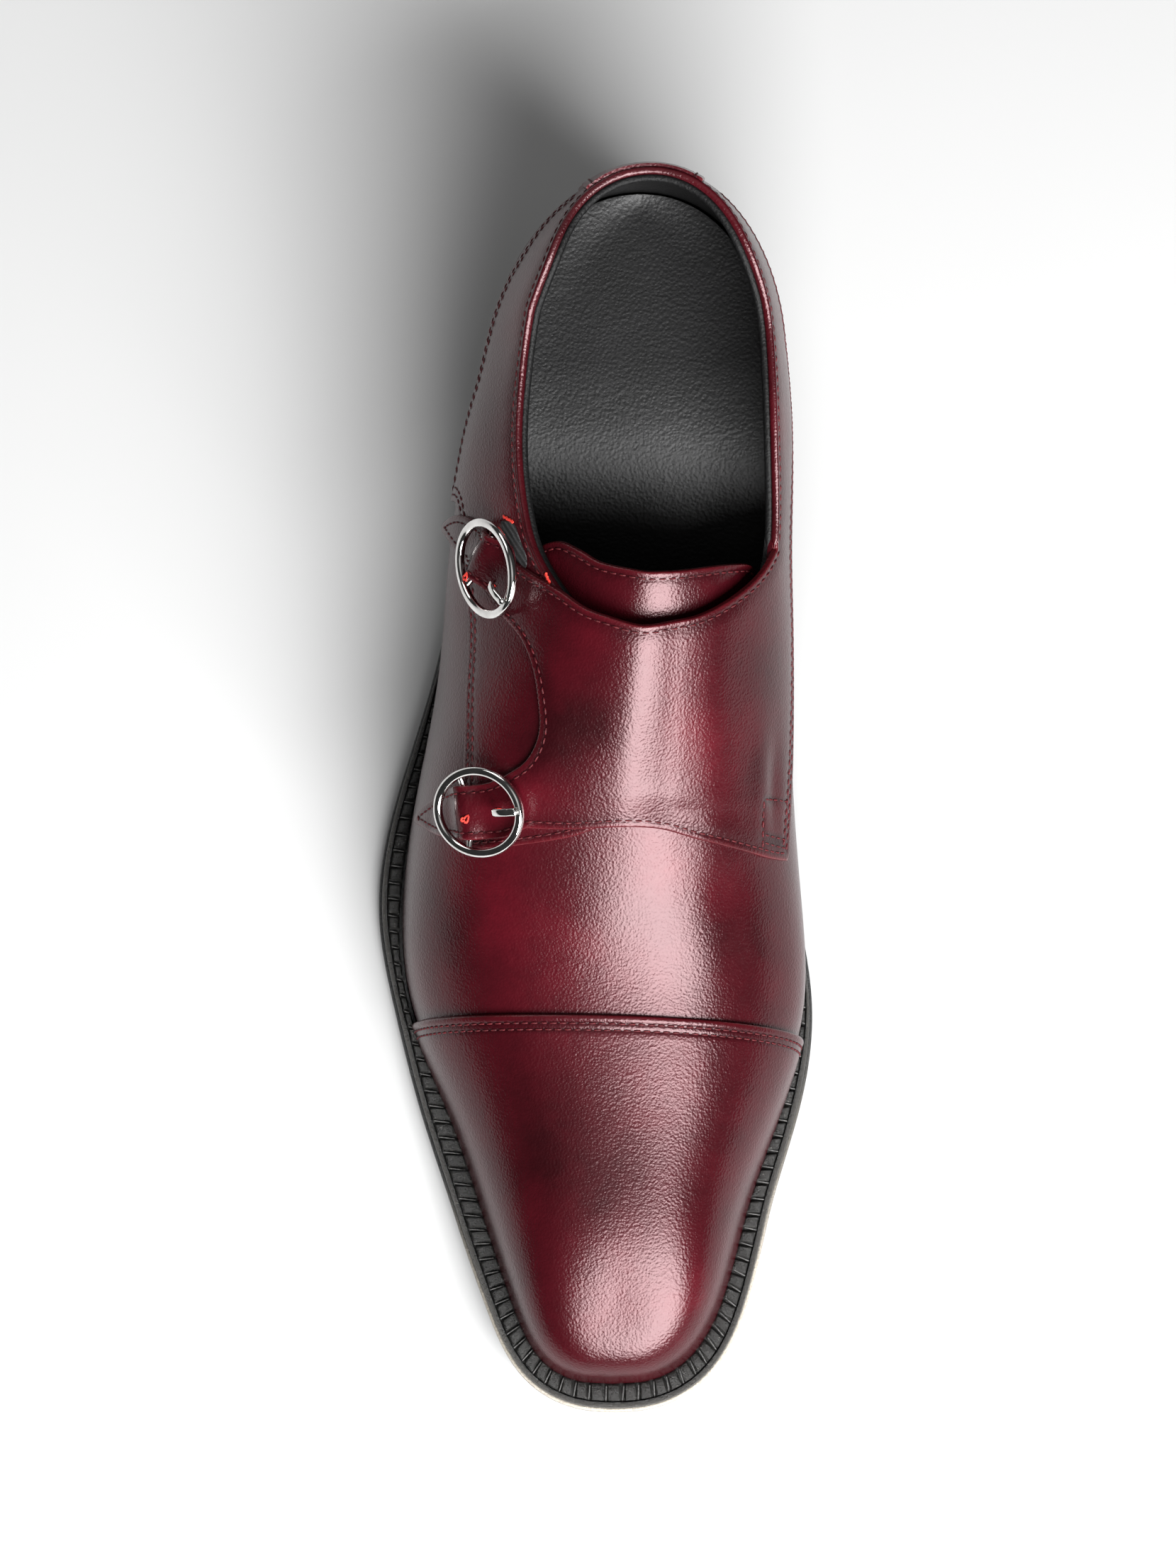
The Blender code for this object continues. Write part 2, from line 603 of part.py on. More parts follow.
def quarter_lifts(along, around):
    return np.full(len(along), LAP), np.full(len(along), LAP + PANEL)


def tongue_lifts(along, around):
    return np.full(len(along), TONGUE[0]), np.full(len(along), TONGUE[1])


def make_lateral_quarter(folder):
    """The lateral quarter: its long lower edge, the facing under the straps and the corner between."""
    loop = [*collar_run(118.0, 17.0, -1, 16), *through(LATERAL_EDGE), *through(LATERAL_FACING),
            *through(LATERAL_FRONT), *through(HIDDEN_FRONT)]
    return pattern("lateral_quarter", loop, quarter_lifts, "burgundy_leather", folder)


STRAP_AXES = {  # middle of each buckle (along, around), run of its strap (along, around), lift, lean in radians
    "upper": ((100.1, -0.510), (-14.9, -0.163), 5.1, -0.075),
    "lower": ((156.9, -0.342), (-1.0, -0.560), 4.6, 0.0),
}


def strap_frame(which):
    """Centre, direction along the strap and surface normal of one buckle, at its lift."""
    (along, around), (run, turn), lift, lean = STRAP_AXES[which]
    along, around = np.asarray(along), np.asarray(around)
    centre = skin(along, around, lift)
    ahead = skin(along + run * 0.05, around + turn * 0.05, lift) - centre
    normal = skin_normal(along, around)
    ahead = ahead - normal * np.dot(ahead, normal)
    ahead = ahead / np.linalg.norm(ahead)
    leant = ahead * math.cos(lean) + normal * math.sin(lean)
    return centre, leant, normal * math.cos(lean) - ahead * math.sin(lean)


def bar_bump(along, around):
    """Extra lift where the straps ride over the bars of the buckles."""
    here = last_point(along, around)
    bump = np.zeros(len(along))
    for which in STRAP_AXES:
        centre, ahead, normal = strap_frame(which)
        bar = centre + ahead * BUCKLE["bar_ahead"]
        run = (here - bar) @ ahead
        across = (here - bar) @ np.cross(normal, ahead)
        near = np.abs(across) < BUCKLE["wide"] / 2 - BUCKLE["wire"]
        bump += np.where(near, BAR_RISE * np.exp(-((run / BAR_SPREAD) ** 2)), 0)
    return bump


def strap_grid(which):
    """Pattern places in rows across a strap, close together over its bar."""
    (along, around), (run, turn), *_ = STRAP_AXES[which]
    ahead = np.array([run, turn * GIRTH]) / math.hypot(run, turn * GIRTH)
    across = np.array([-ahead[1], ahead[0]])
    bar = np.array([along, around * GIRTH]) + ahead * BUCKLE["bar_ahead"]
    places = [bar + ahead * s + across * t for s in STRAP_ROWS for t in (-4.2, 0.0, 4.2)]
    return [(a, g / GIRTH) for a, g in places]


def flap_lifts(along, around):
    """The flap lies on the upper, climbs onto the lateral quarter, and its lower strap ends back on the upper."""
    climb = smooth((TUCK_RUN[1] - around) / (TUCK_RUN[1] - TUCK_RUN[0]))
    past = smooth((DROP_RUN[1] - around) / (DROP_RUN[1] - DROP_RUN[0])) * (along > THROAT)
    low = LAP + (TUCK - LAP) * climb * (1 - past) + bar_bump(along, around)
    return low, low + PANEL


def make_flap(folder):
    """The medial quarter, which crosses the instep and ends in the two straps."""
    loop = [*collar_run(17.6, 96.0, 1, 14)[:-1], *through(FLAP_TOP), *through(UPPER_STRAP, 4), *through(BAY),
            *through(LOWER_STRAP, 4), *through(FLAP_FRONT), *through(MEDIAL_EDGE)]
    creases = [place for which in STRAP_AXES for place in strap_grid(which)]
    return pattern("medial_quarter_with_straps", loop, flap_lifts, "burgundy_leather", folder, extra=creases)


def make_tongue(folder):
    loop = [*through(TONGUE_TOP), *TONGUE_FOOT[:-1]]
    return pattern("tongue", loop, tongue_lifts, "burgundy_leather", folder)


# ---- buckles -------------------------------------------------------------------------------------


def make_buckle(which, folder, cutters):
    """An oval ring of round wire with its cross bar, and the prong that rests on it."""
    centre, ahead, normal = strap_frame(which)
    across = np.cross(normal, ahead)
    turn = Matrix([[*row, 0] for row in np.stack([ahead, across, normal], 1)] + [[0, 0, 0, 1]])
    frame = Matrix.Translation(Vector(centre) * MM) @ turn
    wire = BUCKLE["wire"] / 2
    bpy.ops.mesh.primitive_torus_add(
        major_segments=32,
        minor_segments=8,
        major_radius=(BUCKLE["wide"] / 2 - wire) * MM,
        minor_radius=wire * MM,
    )
    ring = bpy.context.object
    stretch = (BUCKLE["long"] - BUCKLE["wire"]) / (BUCKLE["wide"] - BUCKLE["wire"])
    for corner in ring.data.vertices:
        flat = math.hypot(corner.co.x, corner.co.y)
        corner.co.x += corner.co.x / flat * (BUCKLE["wide"] / 2 - wire) * MM * (stretch - 1)
    adopt(ring, f"{which}_buckle", folder, frame)
    share = BUCKLE["bar_ahead"] / ((BUCKLE["long"] - BUCKLE["wire"]) / 2)
    reach = (BUCKLE["wide"] - BUCKLE["wire"]) * math.sqrt(1 - share**2)
    bpy.ops.mesh.primitive_cylinder_add(vertices=8, radius=BUCKLE["bar"] / 2 * MM, depth=reach * MM)
    bar = bpy.context.object
    down = Matrix.Translation(Vector((BUCKLE["bar_ahead"], 0, -BUCKLE["bar_drop"])) * MM)
    lie = down @ Matrix.Rotation(math.pi / 2, 4, "X")
    adopt(bar, f"{which}_bar", cutters, frame @ lie)
    bar.hide_render = True
    bar.display_type = "WIRE"
    join = ring.modifiers.new("Bar", "BOOLEAN")
    join.operation = "UNION"
    join.object = bar
    make_prong(which, frame, folder)
    return ring


def adopt(thing, name, folder, frame):
    """Names a new primitive, gives it the metal and moves it into its collection."""
    thing.name = thing.data.name = name
    for owner in list(thing.users_collection):
        owner.objects.unlink(thing)
    folder.objects.link(thing)
    thing.matrix_world = frame
    thing.data.materials.append(material("polished_nickel"))
    thing.data.shade_smooth()


def make_prong(which, frame, folder):
    """The prong's free end, from above its hole in the strap to its seat on the ring."""
    wire = BUCKLE["wire"] / 2
    seat = -(BUCKLE["long"] / 2 - wire)
    route = ((seat + 7.6, 0.4), (seat + 6.4, 1.7), (seat + 4.6, 2.35), (seat + 1.2, 2.15), (seat - 0.6, 2.1))
    curve = bpy.data.curves.new(f"{which}_prong", "CURVE")
    curve.dimensions = "3D"
    curve.bevel_depth = PRONG / 2 * MM
    curve.bevel_resolution = 2
    curve.use_fill_caps = True
    run = curve.splines.new("POLY")
    run.points.add(len(route) - 1)
    for point, (x, z) in zip(run.points, route):
        point.co = (x * MM, 0, z * MM, 1)
    curve.materials.append(material("polished_nickel"))
    prong = bpy.data.objects.new(f"{which}_prong", curve)
    folder.objects.link(prong)
    prong.matrix_world = frame
    return prong


# ---- assembly ------------------------------------------------------------------------------------


def stand_on_origin(folder):
    """Moves the shoe so that the origin lies under the middle of its box."""
    bpy.context.view_layer.update()
    graph = bpy.context.evaluated_depsgraph_get()
    corners = []
    for thing in folder.objects:
        whole = thing.evaluated_get(graph)
        mesh = whole.to_mesh()
        corners += [thing.matrix_world @ v.co for v in mesh.vertices]
        whole.to_mesh_clear()
    box = np.array(corners)
    low, high = box.min(0), box.max(0)
    shift = Vector((-(low[0] + high[0]) / 2, -(low[1] + high[1]) / 2, -low[2]))
    for thing in bpy.data.objects:
        thing.matrix_world = Matrix.Translation(shift) @ thing.matrix_world


def main():
    clear_scene()
    shoe, cutters = collection("double_monk_shoe"), collection("cutters")
    make_outsole(shoe)
    make_heel(shoe)
    make_welt(shoe)
    make_insole(shoe)
    make_upper(shoe)
    make_toe_cap(shoe)
    make_back_strip(shoe)
    make_lateral_quarter(shoe)
    make_flap(shoe)
    make_tongue(shoe)
    for which in STRAP_AXES:
        make_buckle(which, shoe, cutters)
    stand_on_origin(shoe)


main()
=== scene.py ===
"""Looks of the right double monk-strap shoe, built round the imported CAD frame.

The leather is cut and wrapped as in the CAD part, in millimetres:
  along   from the back of the heel towards the toe
  around  0 on the crest of the foot, -1 on the lateral and +1 on the medial feather line
The toe points along -Y, the medial side lies on +X, and the shoe stands on Z = 0.
"""

import math

import bmesh
import bpy
import numpy as np
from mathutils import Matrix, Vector
from mathutils.geometry import delaunay_2d_cdt


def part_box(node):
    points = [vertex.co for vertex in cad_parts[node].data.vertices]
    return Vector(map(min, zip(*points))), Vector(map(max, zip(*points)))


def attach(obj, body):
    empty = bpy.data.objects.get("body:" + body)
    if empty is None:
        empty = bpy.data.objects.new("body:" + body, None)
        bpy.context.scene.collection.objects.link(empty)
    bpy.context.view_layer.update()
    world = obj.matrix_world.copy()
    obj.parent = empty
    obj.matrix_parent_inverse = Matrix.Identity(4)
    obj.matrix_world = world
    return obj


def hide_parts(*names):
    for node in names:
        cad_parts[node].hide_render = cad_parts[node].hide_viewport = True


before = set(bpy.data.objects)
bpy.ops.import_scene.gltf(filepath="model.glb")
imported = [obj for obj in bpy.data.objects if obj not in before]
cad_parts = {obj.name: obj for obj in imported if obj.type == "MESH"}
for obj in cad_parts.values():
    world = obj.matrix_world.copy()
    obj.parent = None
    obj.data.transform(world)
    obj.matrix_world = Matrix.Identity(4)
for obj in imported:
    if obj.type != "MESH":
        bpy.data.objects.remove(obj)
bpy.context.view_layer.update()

MM = 0.001

# Sizes of the last and its parts, as in the CAD part.
LENGTH = 300.0  # outsole, heel to toe
HEEL_HEIGHT = 30.0  # floor to the outsole at the heel seat
TOP_LIFT = 6.0
BREAST = 74.0  # along value of the front face of the heel
FLAT = (165.0, 208.0)  # the outsole lies on the floor between these along values
HEEL_SEAT = 60.0  # it lies level over the heel up to this one
TOE_SPRING, SPRING_POWER = 10.0, 1.7
OUTSOLE = 4.5
WELT = 3.0
WELT_END = 80.0
EDGE = 0.9  # the outsole stands out this far beyond the welt
LEAST_WELT = 1.0  # its width on top, where the upper overhangs it at the waist
GAP = 0.3
UPPER_WALL = 2.0
PANEL = 1.0  # leather laid over the upper
LAP = 0.45  # clearance under a panel, so that flat facets stay clear of curved ones
TUCK_RUN = (-0.03, 0.11)  # around values between which the flap climbs onto the lateral quarter
DROP_RUN = (-0.57, -0.47)  # and between which the lower strap drops off it again
TUCK = 2 * LAP + PANEL  # lift of the flap where it lies on the lateral quarter
TONGUE = (-4.2, -3.1)  # lifts of its two faces, inside the upper
INNER_HEEL = 62.0  # floor to the top of the insole at the heel: 28 mm of hidden lift
INSOLE_FRONT = 4.0
INSOLE_GAP = 0.7  # round it and under it
BUCKLE = {"long": 27.0, "wide": 22.3, "wire": 2.2, "bar": 1.6, "bar_ahead": 4.6, "bar_drop": 1.65}

# Places along the shoe where its curves are given.
STATIONS = (0, 30, 60, 90, 120, 150, 175, 200, 225, 250, 275, 300)
CREST_STATIONS = (0, 30, 60, 90, 118, 140, 160, 180, 200, 220, 240, 260, 280, 300)
COLLAR_STATIONS = (0, 15, 30, 44, 58, 73, 88, 98, 112, 128)
THROAT = 128.0  # the collar ends here
COLLAR_EASE = 16.0  # its two sides meet at one height over the back seam, this far round
# The rounded ends: where the rounding starts, its length and power for each outline, the crest's own reach.
HEEL_END = {"centre": 42.0, "reach": 38.0, "sole_reach": 42.0, "power": 2.1, "sole_power": 2.1, "crest": 8.0}
TOE_END = {"centre": 252.0, "reach": 40.0, "sole_reach": 48.0, "power": 2.7, "sole_power": 2.3, "crest": 20.0}
BACK, TIP = HEEL_END["centre"] - HEEL_END["reach"], TOE_END["centre"] + TOE_END["reach"]

# Pattern outlines: (along, around) points joined by smooth curves.
FLAP_TOP = ((96, 0.5), (103, 0.41), (109.9, 0.29), (114.4, 0.18), (116.4, 0.075), (116.9, -0.02),
            (114.9, -0.12), (112.4, -0.205), (108, -0.292), (103.5, -0.382), (99.5, -0.45))
UPPER_STRAP = ((99.5, -0.45), (96.2, -0.466), (93.4, -0.501), (88.7, -0.588), (84.9, -0.69), (85.6, -0.81),
               (89.2, -0.738), (93.9, -0.665), (99.1, -0.592), (105.4, -0.522), (111.9, -0.455))
BAY = ((111.9, -0.455), (118.4, -0.37), (125.4, -0.307), (132.8, -0.262), (138.8, -0.237), (143.3, -0.237),
       (146.8, -0.255), (149.2, -0.295))
LOWER_STRAP = ((149.2, -0.295), (150.7, -0.35), (150.7, -0.443), (151.7, -0.532), (155.2, -0.705),
               (158.7, -0.61), (161, -0.53), (162.2, -0.455), (162.8, -0.387), (163.4, -0.282),
               (161.4, -0.223))
FLAP_FRONT = ((161.4, -0.223), (162, -0.125), (161.6, -0.027), (161.8, 0.032), (162.7, 0.113), (164.2, 0.198),
              (165.2, 0.28), (166.2, 0.375), (167, 0.485), (166.7, 0.585))
MEDIAL_EDGE = ((166.7, 0.585), (161.2, 0.6), (149.7, 0.627), (137.3, 0.647), (113.4, 0.667), (90.5, 0.67),
               (70, 0.7), (50, 0.72), (38, 0.68), (28, 0.62), (17.6, 0.54))
LATERAL_EDGE = ((17, -0.52), (23.9, -0.578), (28.9, -0.61), (35.3, -0.67), (43, -0.72), (52.7, -0.742),
                (61.7, -0.785), (70.5, -0.805), (79, -0.815))
LATERAL_FACING = ((79, -0.815), (84.1, -0.71), (107.5, -0.615), (125.4, -0.557), (145.3, -0.46),
                  (165.8, -0.4))
LATERAL_FRONT = ((165.8, -0.4), (165.9, -0.325), (165.7, -0.255), (164.2, -0.127), (161.2, -0.045))
HIDDEN_FRONT = ((161.2, -0.045), (140, -0.06), (122, -0.11))
TONGUE_TOP = ((97.5, -0.46), (96.5, -0.415), (96.7, -0.367), (99.5, -0.302), (103.5, -0.208), (106.5, -0.042),
              (106.5, 0.085), (105, 0.205), (102.5, 0.34), (101, 0.435), (102, 0.48))
TONGUE_FOOT = ((102, 0.48), (125, 0.42), (150, 0.3), (150, -0.3), (125, -0.42), (97.5, -0.46))
CAP_LINE = {"middle": 205.7, "skew": 2.6}  # along value of the cap's edge on the crest, and more to each side
BACK_STRIP = {"top": 12.4, "foot": 8.9, "end": 0.96}  # half widths, and the around value of its foot

NUDGE = (0.25, 2e-3)  # steps of along and around that give the skin's slopes
MOVE_NUDGE = (0.2, 2e-3)  # and those used to move an outline in
STRAP_NUDGE = 0.05  # share of a strap's run that gives its direction
GIRTH = 80.0  # millimetres of leather in one unit of around, near enough to space a pattern's points
CREST_END = 0.02  # around value that gives the ends of the crest their normal
# The last's two sides are eased into each other: around values of the step, its reach and fade, along values
# of its end.
CREST_EASE = {"step": 0.062, "reach": 0.34, "fade": 0.18, "end": 245, "end_fade": 20}
BAR_RISE = 3.0  # how far the straps ride up over the bars
BAR_SPREAD = 3.5  # half length of that rise
# The middle of each buckle (along, around), the run of its strap (along, around), lift, lean in radians.
STRAP_AXES = {
    "upper": ((100.1, -0.51), (-14.9, -0.163), 5.1, -0.075),
    "lower": ((156.9, -0.342), (-1, -0.56), 4.6, 0),
}


# ---- curves and the last -------------------------------------------------------------------------


def spline(xs, ys):
    """The natural cubic through the points, as a function."""
    xs, ys = np.asarray(xs, float), np.asarray(ys, float)
    h, last = np.diff(xs), len(xs) - 1
    system, right = np.eye(last + 1), np.zeros(last + 1)
    for i in range(1, last):
        system[i, i - 1 : i + 2] = h[i - 1], 2 * (h[i - 1] + h[i]), h[i]
        right[i] = 6 * ((ys[i + 1] - ys[i]) / h[i] - (ys[i] - ys[i - 1]) / h[i - 1])
    bend = np.linalg.solve(system, right)

    def at(x):
        x = np.asarray(x, float)
        i = np.clip(np.searchsorted(xs, x) - 1, 0, last - 1)
        t, s = x - xs[i], xs[i + 1] - x
        cubic = (bend[i] * s**3 + bend[i + 1] * t**3) / (6 * h[i])
        low, high = ys[i] / h[i] - bend[i] * h[i] / 6, ys[i + 1] / h[i] - bend[i + 1] * h[i] / 6
        return cubic + low * s + high * t

    return at


# The half outlines: x of the feather line, where the upper meets the sole, and of the sole's own edge.
feather_lateral = spline(STATIONS, (-20.5, -22.5, -26, -31.5, -37, -44, -47.5, -45, -35.4, -27, -21, -22.7))
feather_medial = spline(STATIONS, (43, 43, 42, 39, 38, 42.5, 47.5, 49.5, 44.4, 36.4, 31.5, 29.3))
sole_lateral = spline(STATIONS, (-22.5, -24.5, -28, -34, -41.4, -51, -54.3, -50.1, -43.6, -35.4, -29.7,
                                 -31.6))
sole_medial = spline(STATIONS, (45, 45, 44, 41, 40.5, 45.5, 51, 54.4, 50.9, 43.6, 40, 40.9))
# The crest of the last: sideways, height.
crest_side = spline(CREST_STATIONS, (11.5, 11.5, 11.5, 12, 12, 10.5, 9, 7.5, 6.5, 6, 5.6, 5.4, 5.2, 5))
crest_height = spline(CREST_STATIONS, (140, 139, 126.5, 109.5, 94.5, 82.5, 71, 60.5, 52.3, 47, 43,
                                       39.6, 32.5, 24))
# The ribs: outward swell, its height as a share of the rib's, flatness below the crest.
swell_lateral = spline(STATIONS, (12, 13, 20.5, 20.5, 11, 5.5, 3.5, 3, 1.2, -0.8, -1.4, -1))
swell_medial = spline(STATIONS, (9, 7.5, 13, 20.5, 24.5, 20, 14, 10, 4, -0.4, -1.4, -1))
swell_height = spline(STATIONS, (0.36, 0.36, 0.36, 0.38, 0.42, 0.46, 0.47, 0.49, 0.55, 0.64, 0.78, 0.8))
flat_lateral = spline(STATIONS, (0.35, 0.3, 0.1, 0.17, 0.48, 0.76, 0.76, 0.72, 0.7, 0.75, 0.81, 0.83))
flat_medial = spline(STATIONS, (0.75, 0.75, 0.85, 0.92, 0.88, 0.7, 0.66, 0.66, 0.7, 0.75, 0.81, 0.83))
# Height of the collar.
collar_lateral = spline(COLLAR_STATIONS, (107.5, 107, 105, 97.7, 92.1, 88.2, 86, 85.9, 89.5, 91.5))
collar_medial = spline(COLLAR_STATIONS, (107, 106.5, 102.5, 95.3, 92, 87.6, 81, 78.5, 82, 91.5))


def smooth(t):
    """An eased step from 0 to 1."""
    t = np.clip(t, 0, 1)
    return t * t * (3 - 2 * t)


def unit(vectors):
    return vectors / (np.linalg.norm(vectors, axis=-1, keepdims=True) + 1e-12)


def turns(count):
    """Even turns round a circle, in radians."""
    return np.linspace(0, 2 * math.pi, count, endpoint=False)


def merged(*parts):
    """All the numbers of the parts in order, each once."""
    return np.unique(np.concatenate(parts))


def run_along(points):
    """How far along a line of points each of them lies."""
    return np.concatenate([[0], np.cumsum(np.linalg.norm(np.diff(points, axis=0), axis=1))])


def sole_under(along):
    """Height of the outsole's lower face: heel seat, arch, flat forefoot, toe spring."""
    rise = HEEL_HEIGHT * smooth((FLAT[0] - along) / (FLAT[0] - HEEL_SEAT))
    spring = np.clip((along - FLAT[1]) / (LENGTH - FLAT[1]), 0, None) ** SPRING_POWER
    return rise + TOE_SPRING * spring


def end_angles(along):
    """How far round the heel and the toe a walk along one side has gone, 0 to a right angle."""
    heel = np.clip((HEEL_END["centre"] - along) / HEEL_END["reach"], 0, 1) * math.pi / 2
    toe = np.clip((along - TOE_END["centre"]) / TOE_END["reach"], 0, 1) * math.pi / 2
    return heel, toe


def place(along, key):
    """The along position of a walk on the outline (key reach or sole_reach) or on the crest (crest)."""
    heel, toe = end_angles(along)
    back = HEEL_END["centre"] - HEEL_END[key] * np.sin(heel)
    front = TOE_END["centre"] + TOE_END[key] * np.sin(toe)
    return np.where(heel > 0, back, np.where(toe > 0, front, along))


def closing(along, key):
    """Share of the half width left as the outline rounds off at its ends."""
    power = key.replace("reach", "power")
    heel, toe = end_angles(along)
    share = 1.0
    for angle, end in ((heel, HEEL_END), (toe, TOE_END)):
        share = share * np.clip(1 - np.sin(angle) ** end[power], 0, 1) ** (1 / end[power])
    return share


def outline(along, side, lateral, medial, key):
    """x and along of a walk on one side of an outline."""
    at = place(along, key)
    middle, half = (lateral(at) + medial(at)) / 2, (medial(at) - lateral(at)) / 2
    return middle + side * half * closing(along, key), at


def sole_outline(walk, side):
    """x and y of a walk on one side of the outsole's edge."""
    x, at = outline(walk, side, sole_lateral, sole_medial, "sole_reach")
    return np.stack([x, LENGTH / 2 - at], -1)


def rib_point(along, around):
    """The skin of the last in millimetres. Past either end it carries on round to the other side."""
    along, around = np.broadcast_arrays(np.asarray(along, float), np.asarray(around, float))
    past = (along > TIP) | (along < BACK)
    around = np.where(past, -around, around)
    along = np.where(along > TIP, 2 * TIP - along, np.where(along < BACK, 2 * BACK - along, along))
    side, up = np.where(around < 0, -1.0, 1.0), 1 - np.abs(around)
    foot_x, foot_at = outline(along, side, feather_lateral, feather_medial, "reach")
    foot_z = sole_under(foot_at) + OUTSOLE + 2 * GAP
    head_at = place(along, "crest")
    head_x, head_z = crest_side(head_at), crest_height(head_at)
    slope = (crest_height(head_at + 1) - crest_height(head_at - 1)) / 2
    span_x, span_y = foot_x - head_x, foot_at - head_at
    span = np.hypot(span_x, span_y) + 1e-9
    own = np.clip(side * span_x / span * 0.5 + 0.5, 0, 1)
    lateral_share = np.where(side < 0, own, 1 - own)

    def mixed(lateral, medial):
        return lateral(foot_at) * lateral_share + medial(foot_at) * (1 - lateral_share)

    swell, flat = mixed(swell_lateral, swell_medial), mixed(flat_lateral, flat_medial)
    rib = (
        (foot_x, foot_at, foot_z),
        (
            foot_x + span_x / span * swell,
            foot_at + span_y / span * swell,
            foot_z + swell_height(foot_at) * (head_z - foot_z),
        ),
        (head_x + span_x * flat, head_at + span_y * flat, head_z + slope * span_y * flat),
        (head_x, head_at, head_z),
    )
    weights = ((1 - up) ** 3, 3 * (1 - up) ** 2 * up, 3 * (1 - up) * up**2, up**3)
    x, at, z = (sum(w * p[k] for w, p in zip(weights, rib)) for k in range(3))
    return np.stack([x, LENGTH / 2 - at, z], -1)


def last_point(along, around):
    """The skin of the last. Its two sides curve differently, and are eased into each other over the crest."""
    along, around = np.broadcast_arrays(np.asarray(along, float), np.asarray(around, float))
    close = smooth((CREST_EASE["reach"] - np.abs(around)) / CREST_EASE["fade"])
    step = CREST_EASE["step"] * close * smooth((CREST_EASE["end"] - along) / CREST_EASE["end_fade"])
    point = rib_point(along, around)
    near = step > 0
    if near.any():
        a, g, s = along[near], around[near], step[near]
        point[near] *= 6 / 16
        for k, weight in ((-2, 1 / 16), (-1, 4 / 16), (1, 4 / 16), (2, 1 / 16)):
            point[near] += weight * rib_point(a, g + k * s)
    return point


def skin_normal(along, around):
    around = np.asarray(around, float)
    ends = (along > TIP - 1) | (along < BACK + 1)  # both sides share one rib here, with no width on the crest
    around = np.where(ends & (np.abs(around) < CREST_END), CREST_END, around)
    ahead = last_point(along + NUDGE[0], around) - last_point(along - NUDGE[0], around)
    outer, inner = np.minimum(around + NUDGE[1], 1), np.maximum(around - NUDGE[1], -1)
    return unit(np.cross(ahead, last_point(along, outer) - last_point(along, inner)))


def skin(along, around, lift):
    """A point of the last, raised by lift along its normal."""
    along = np.clip(np.asarray(along, float), 2 * BACK - TIP, 2 * TIP - BACK)
    return last_point(along, around) + skin_normal(along, around) * np.asarray(lift, float)[..., None]


def around_at(along, side, height, lift=0.0):
    """The around value where a rib reaches this height, by halving."""
    along, height = np.broadcast_arrays(np.asarray(along, float), np.asarray(height, float))
    low, high = np.zeros(along.shape), np.ones(along.shape)
    for _ in range(30):
        middle = (low + high) / 2
        under = skin(along, side * (1 - middle), lift)[..., 2] < height
        low, high = np.where(under, middle, low), np.where(under, high, middle)
    return side * (1 - (low + high) / 2)


def collar_around(along, side):
    """Where the collar crosses a rib. Both sides meet at one height over the back seam."""
    at = np.clip(place(along, "reach"), 0, THROAT)
    own, other = (collar_lateral(at), collar_medial(at))[:: 1 if side < 0 else -1]
    share = 0.5 + 0.5 * smooth((at - BACK) / COLLAR_EASE)
    return around_at(along, side, own * share + other * (1 - share))


def through(points, per_span=3):
    """A smooth curve through pattern points (Catmull-Rom), without its last point."""
    p = np.asarray(points, float)
    p = np.vstack([2 * p[0] - p[1], p, 2 * p[-1] - p[-2]])
    out = []
    for i in range(1, len(p) - 2):
        for t in np.arange(per_span) / per_span:
            a, b, c, d = p[i - 1 : i + 3]
            cubic = t**2 * (a - 2.5 * b + 2 * c - d / 2) + t**3 * (d - a + 3 * (b - c)) / 2
            out.append(b + t * (c - a) / 2 + cubic)
    return out


def strap_frame(which):
    """Centre, direction along the strap and surface normal of one buckle, at its lift."""
    (along, around), (run, turn), lift, lean = STRAP_AXES[which]
    centre = skin(along, around, lift)
    ahead = skin(along + run * STRAP_NUDGE, around + turn * STRAP_NUDGE, lift) - centre
    normal = skin_normal(along, around)
    ahead = ahead - normal * np.dot(ahead, normal)
    ahead = ahead / np.linalg.norm(ahead)
    leant = ahead * math.cos(lean) + normal * math.sin(lean)
    return centre, leant, normal * math.cos(lean) - ahead * math.sin(lean)


def bar_bump(along, around):
    """Extra lift where the straps ride over the bars of the buckles."""
    here = last_point(along, around)
    bump = np.zeros(len(along))
    for which in STRAP_AXES:
        centre, ahead, normal = strap_frame(which)
        bar = centre + ahead * BUCKLE["bar_ahead"]
        run = (here - bar) @ ahead
        across = (here - bar) @ np.cross(normal, ahead)
        near = np.abs(across) < BUCKLE["wide"] / 2 - BUCKLE["wire"]
        bump += np.where(near, BAR_RISE * np.exp(-((run / BAR_SPREAD) ** 2)), 0)
    return bump


def flap_lifts(along, around):
    """The flap climbs from the upper onto the lateral quarter, and its lower strap drops off it again."""
    climb = smooth((TUCK_RUN[1] - around) / (TUCK_RUN[1] - TUCK_RUN[0]))
    past = smooth((DROP_RUN[1] - around) / (DROP_RUN[1] - DROP_RUN[0])) * (along > THROAT)
    low = LAP + (TUCK - LAP) * climb * (1 - past) + bar_bump(along, around)
    return low, low + PANEL


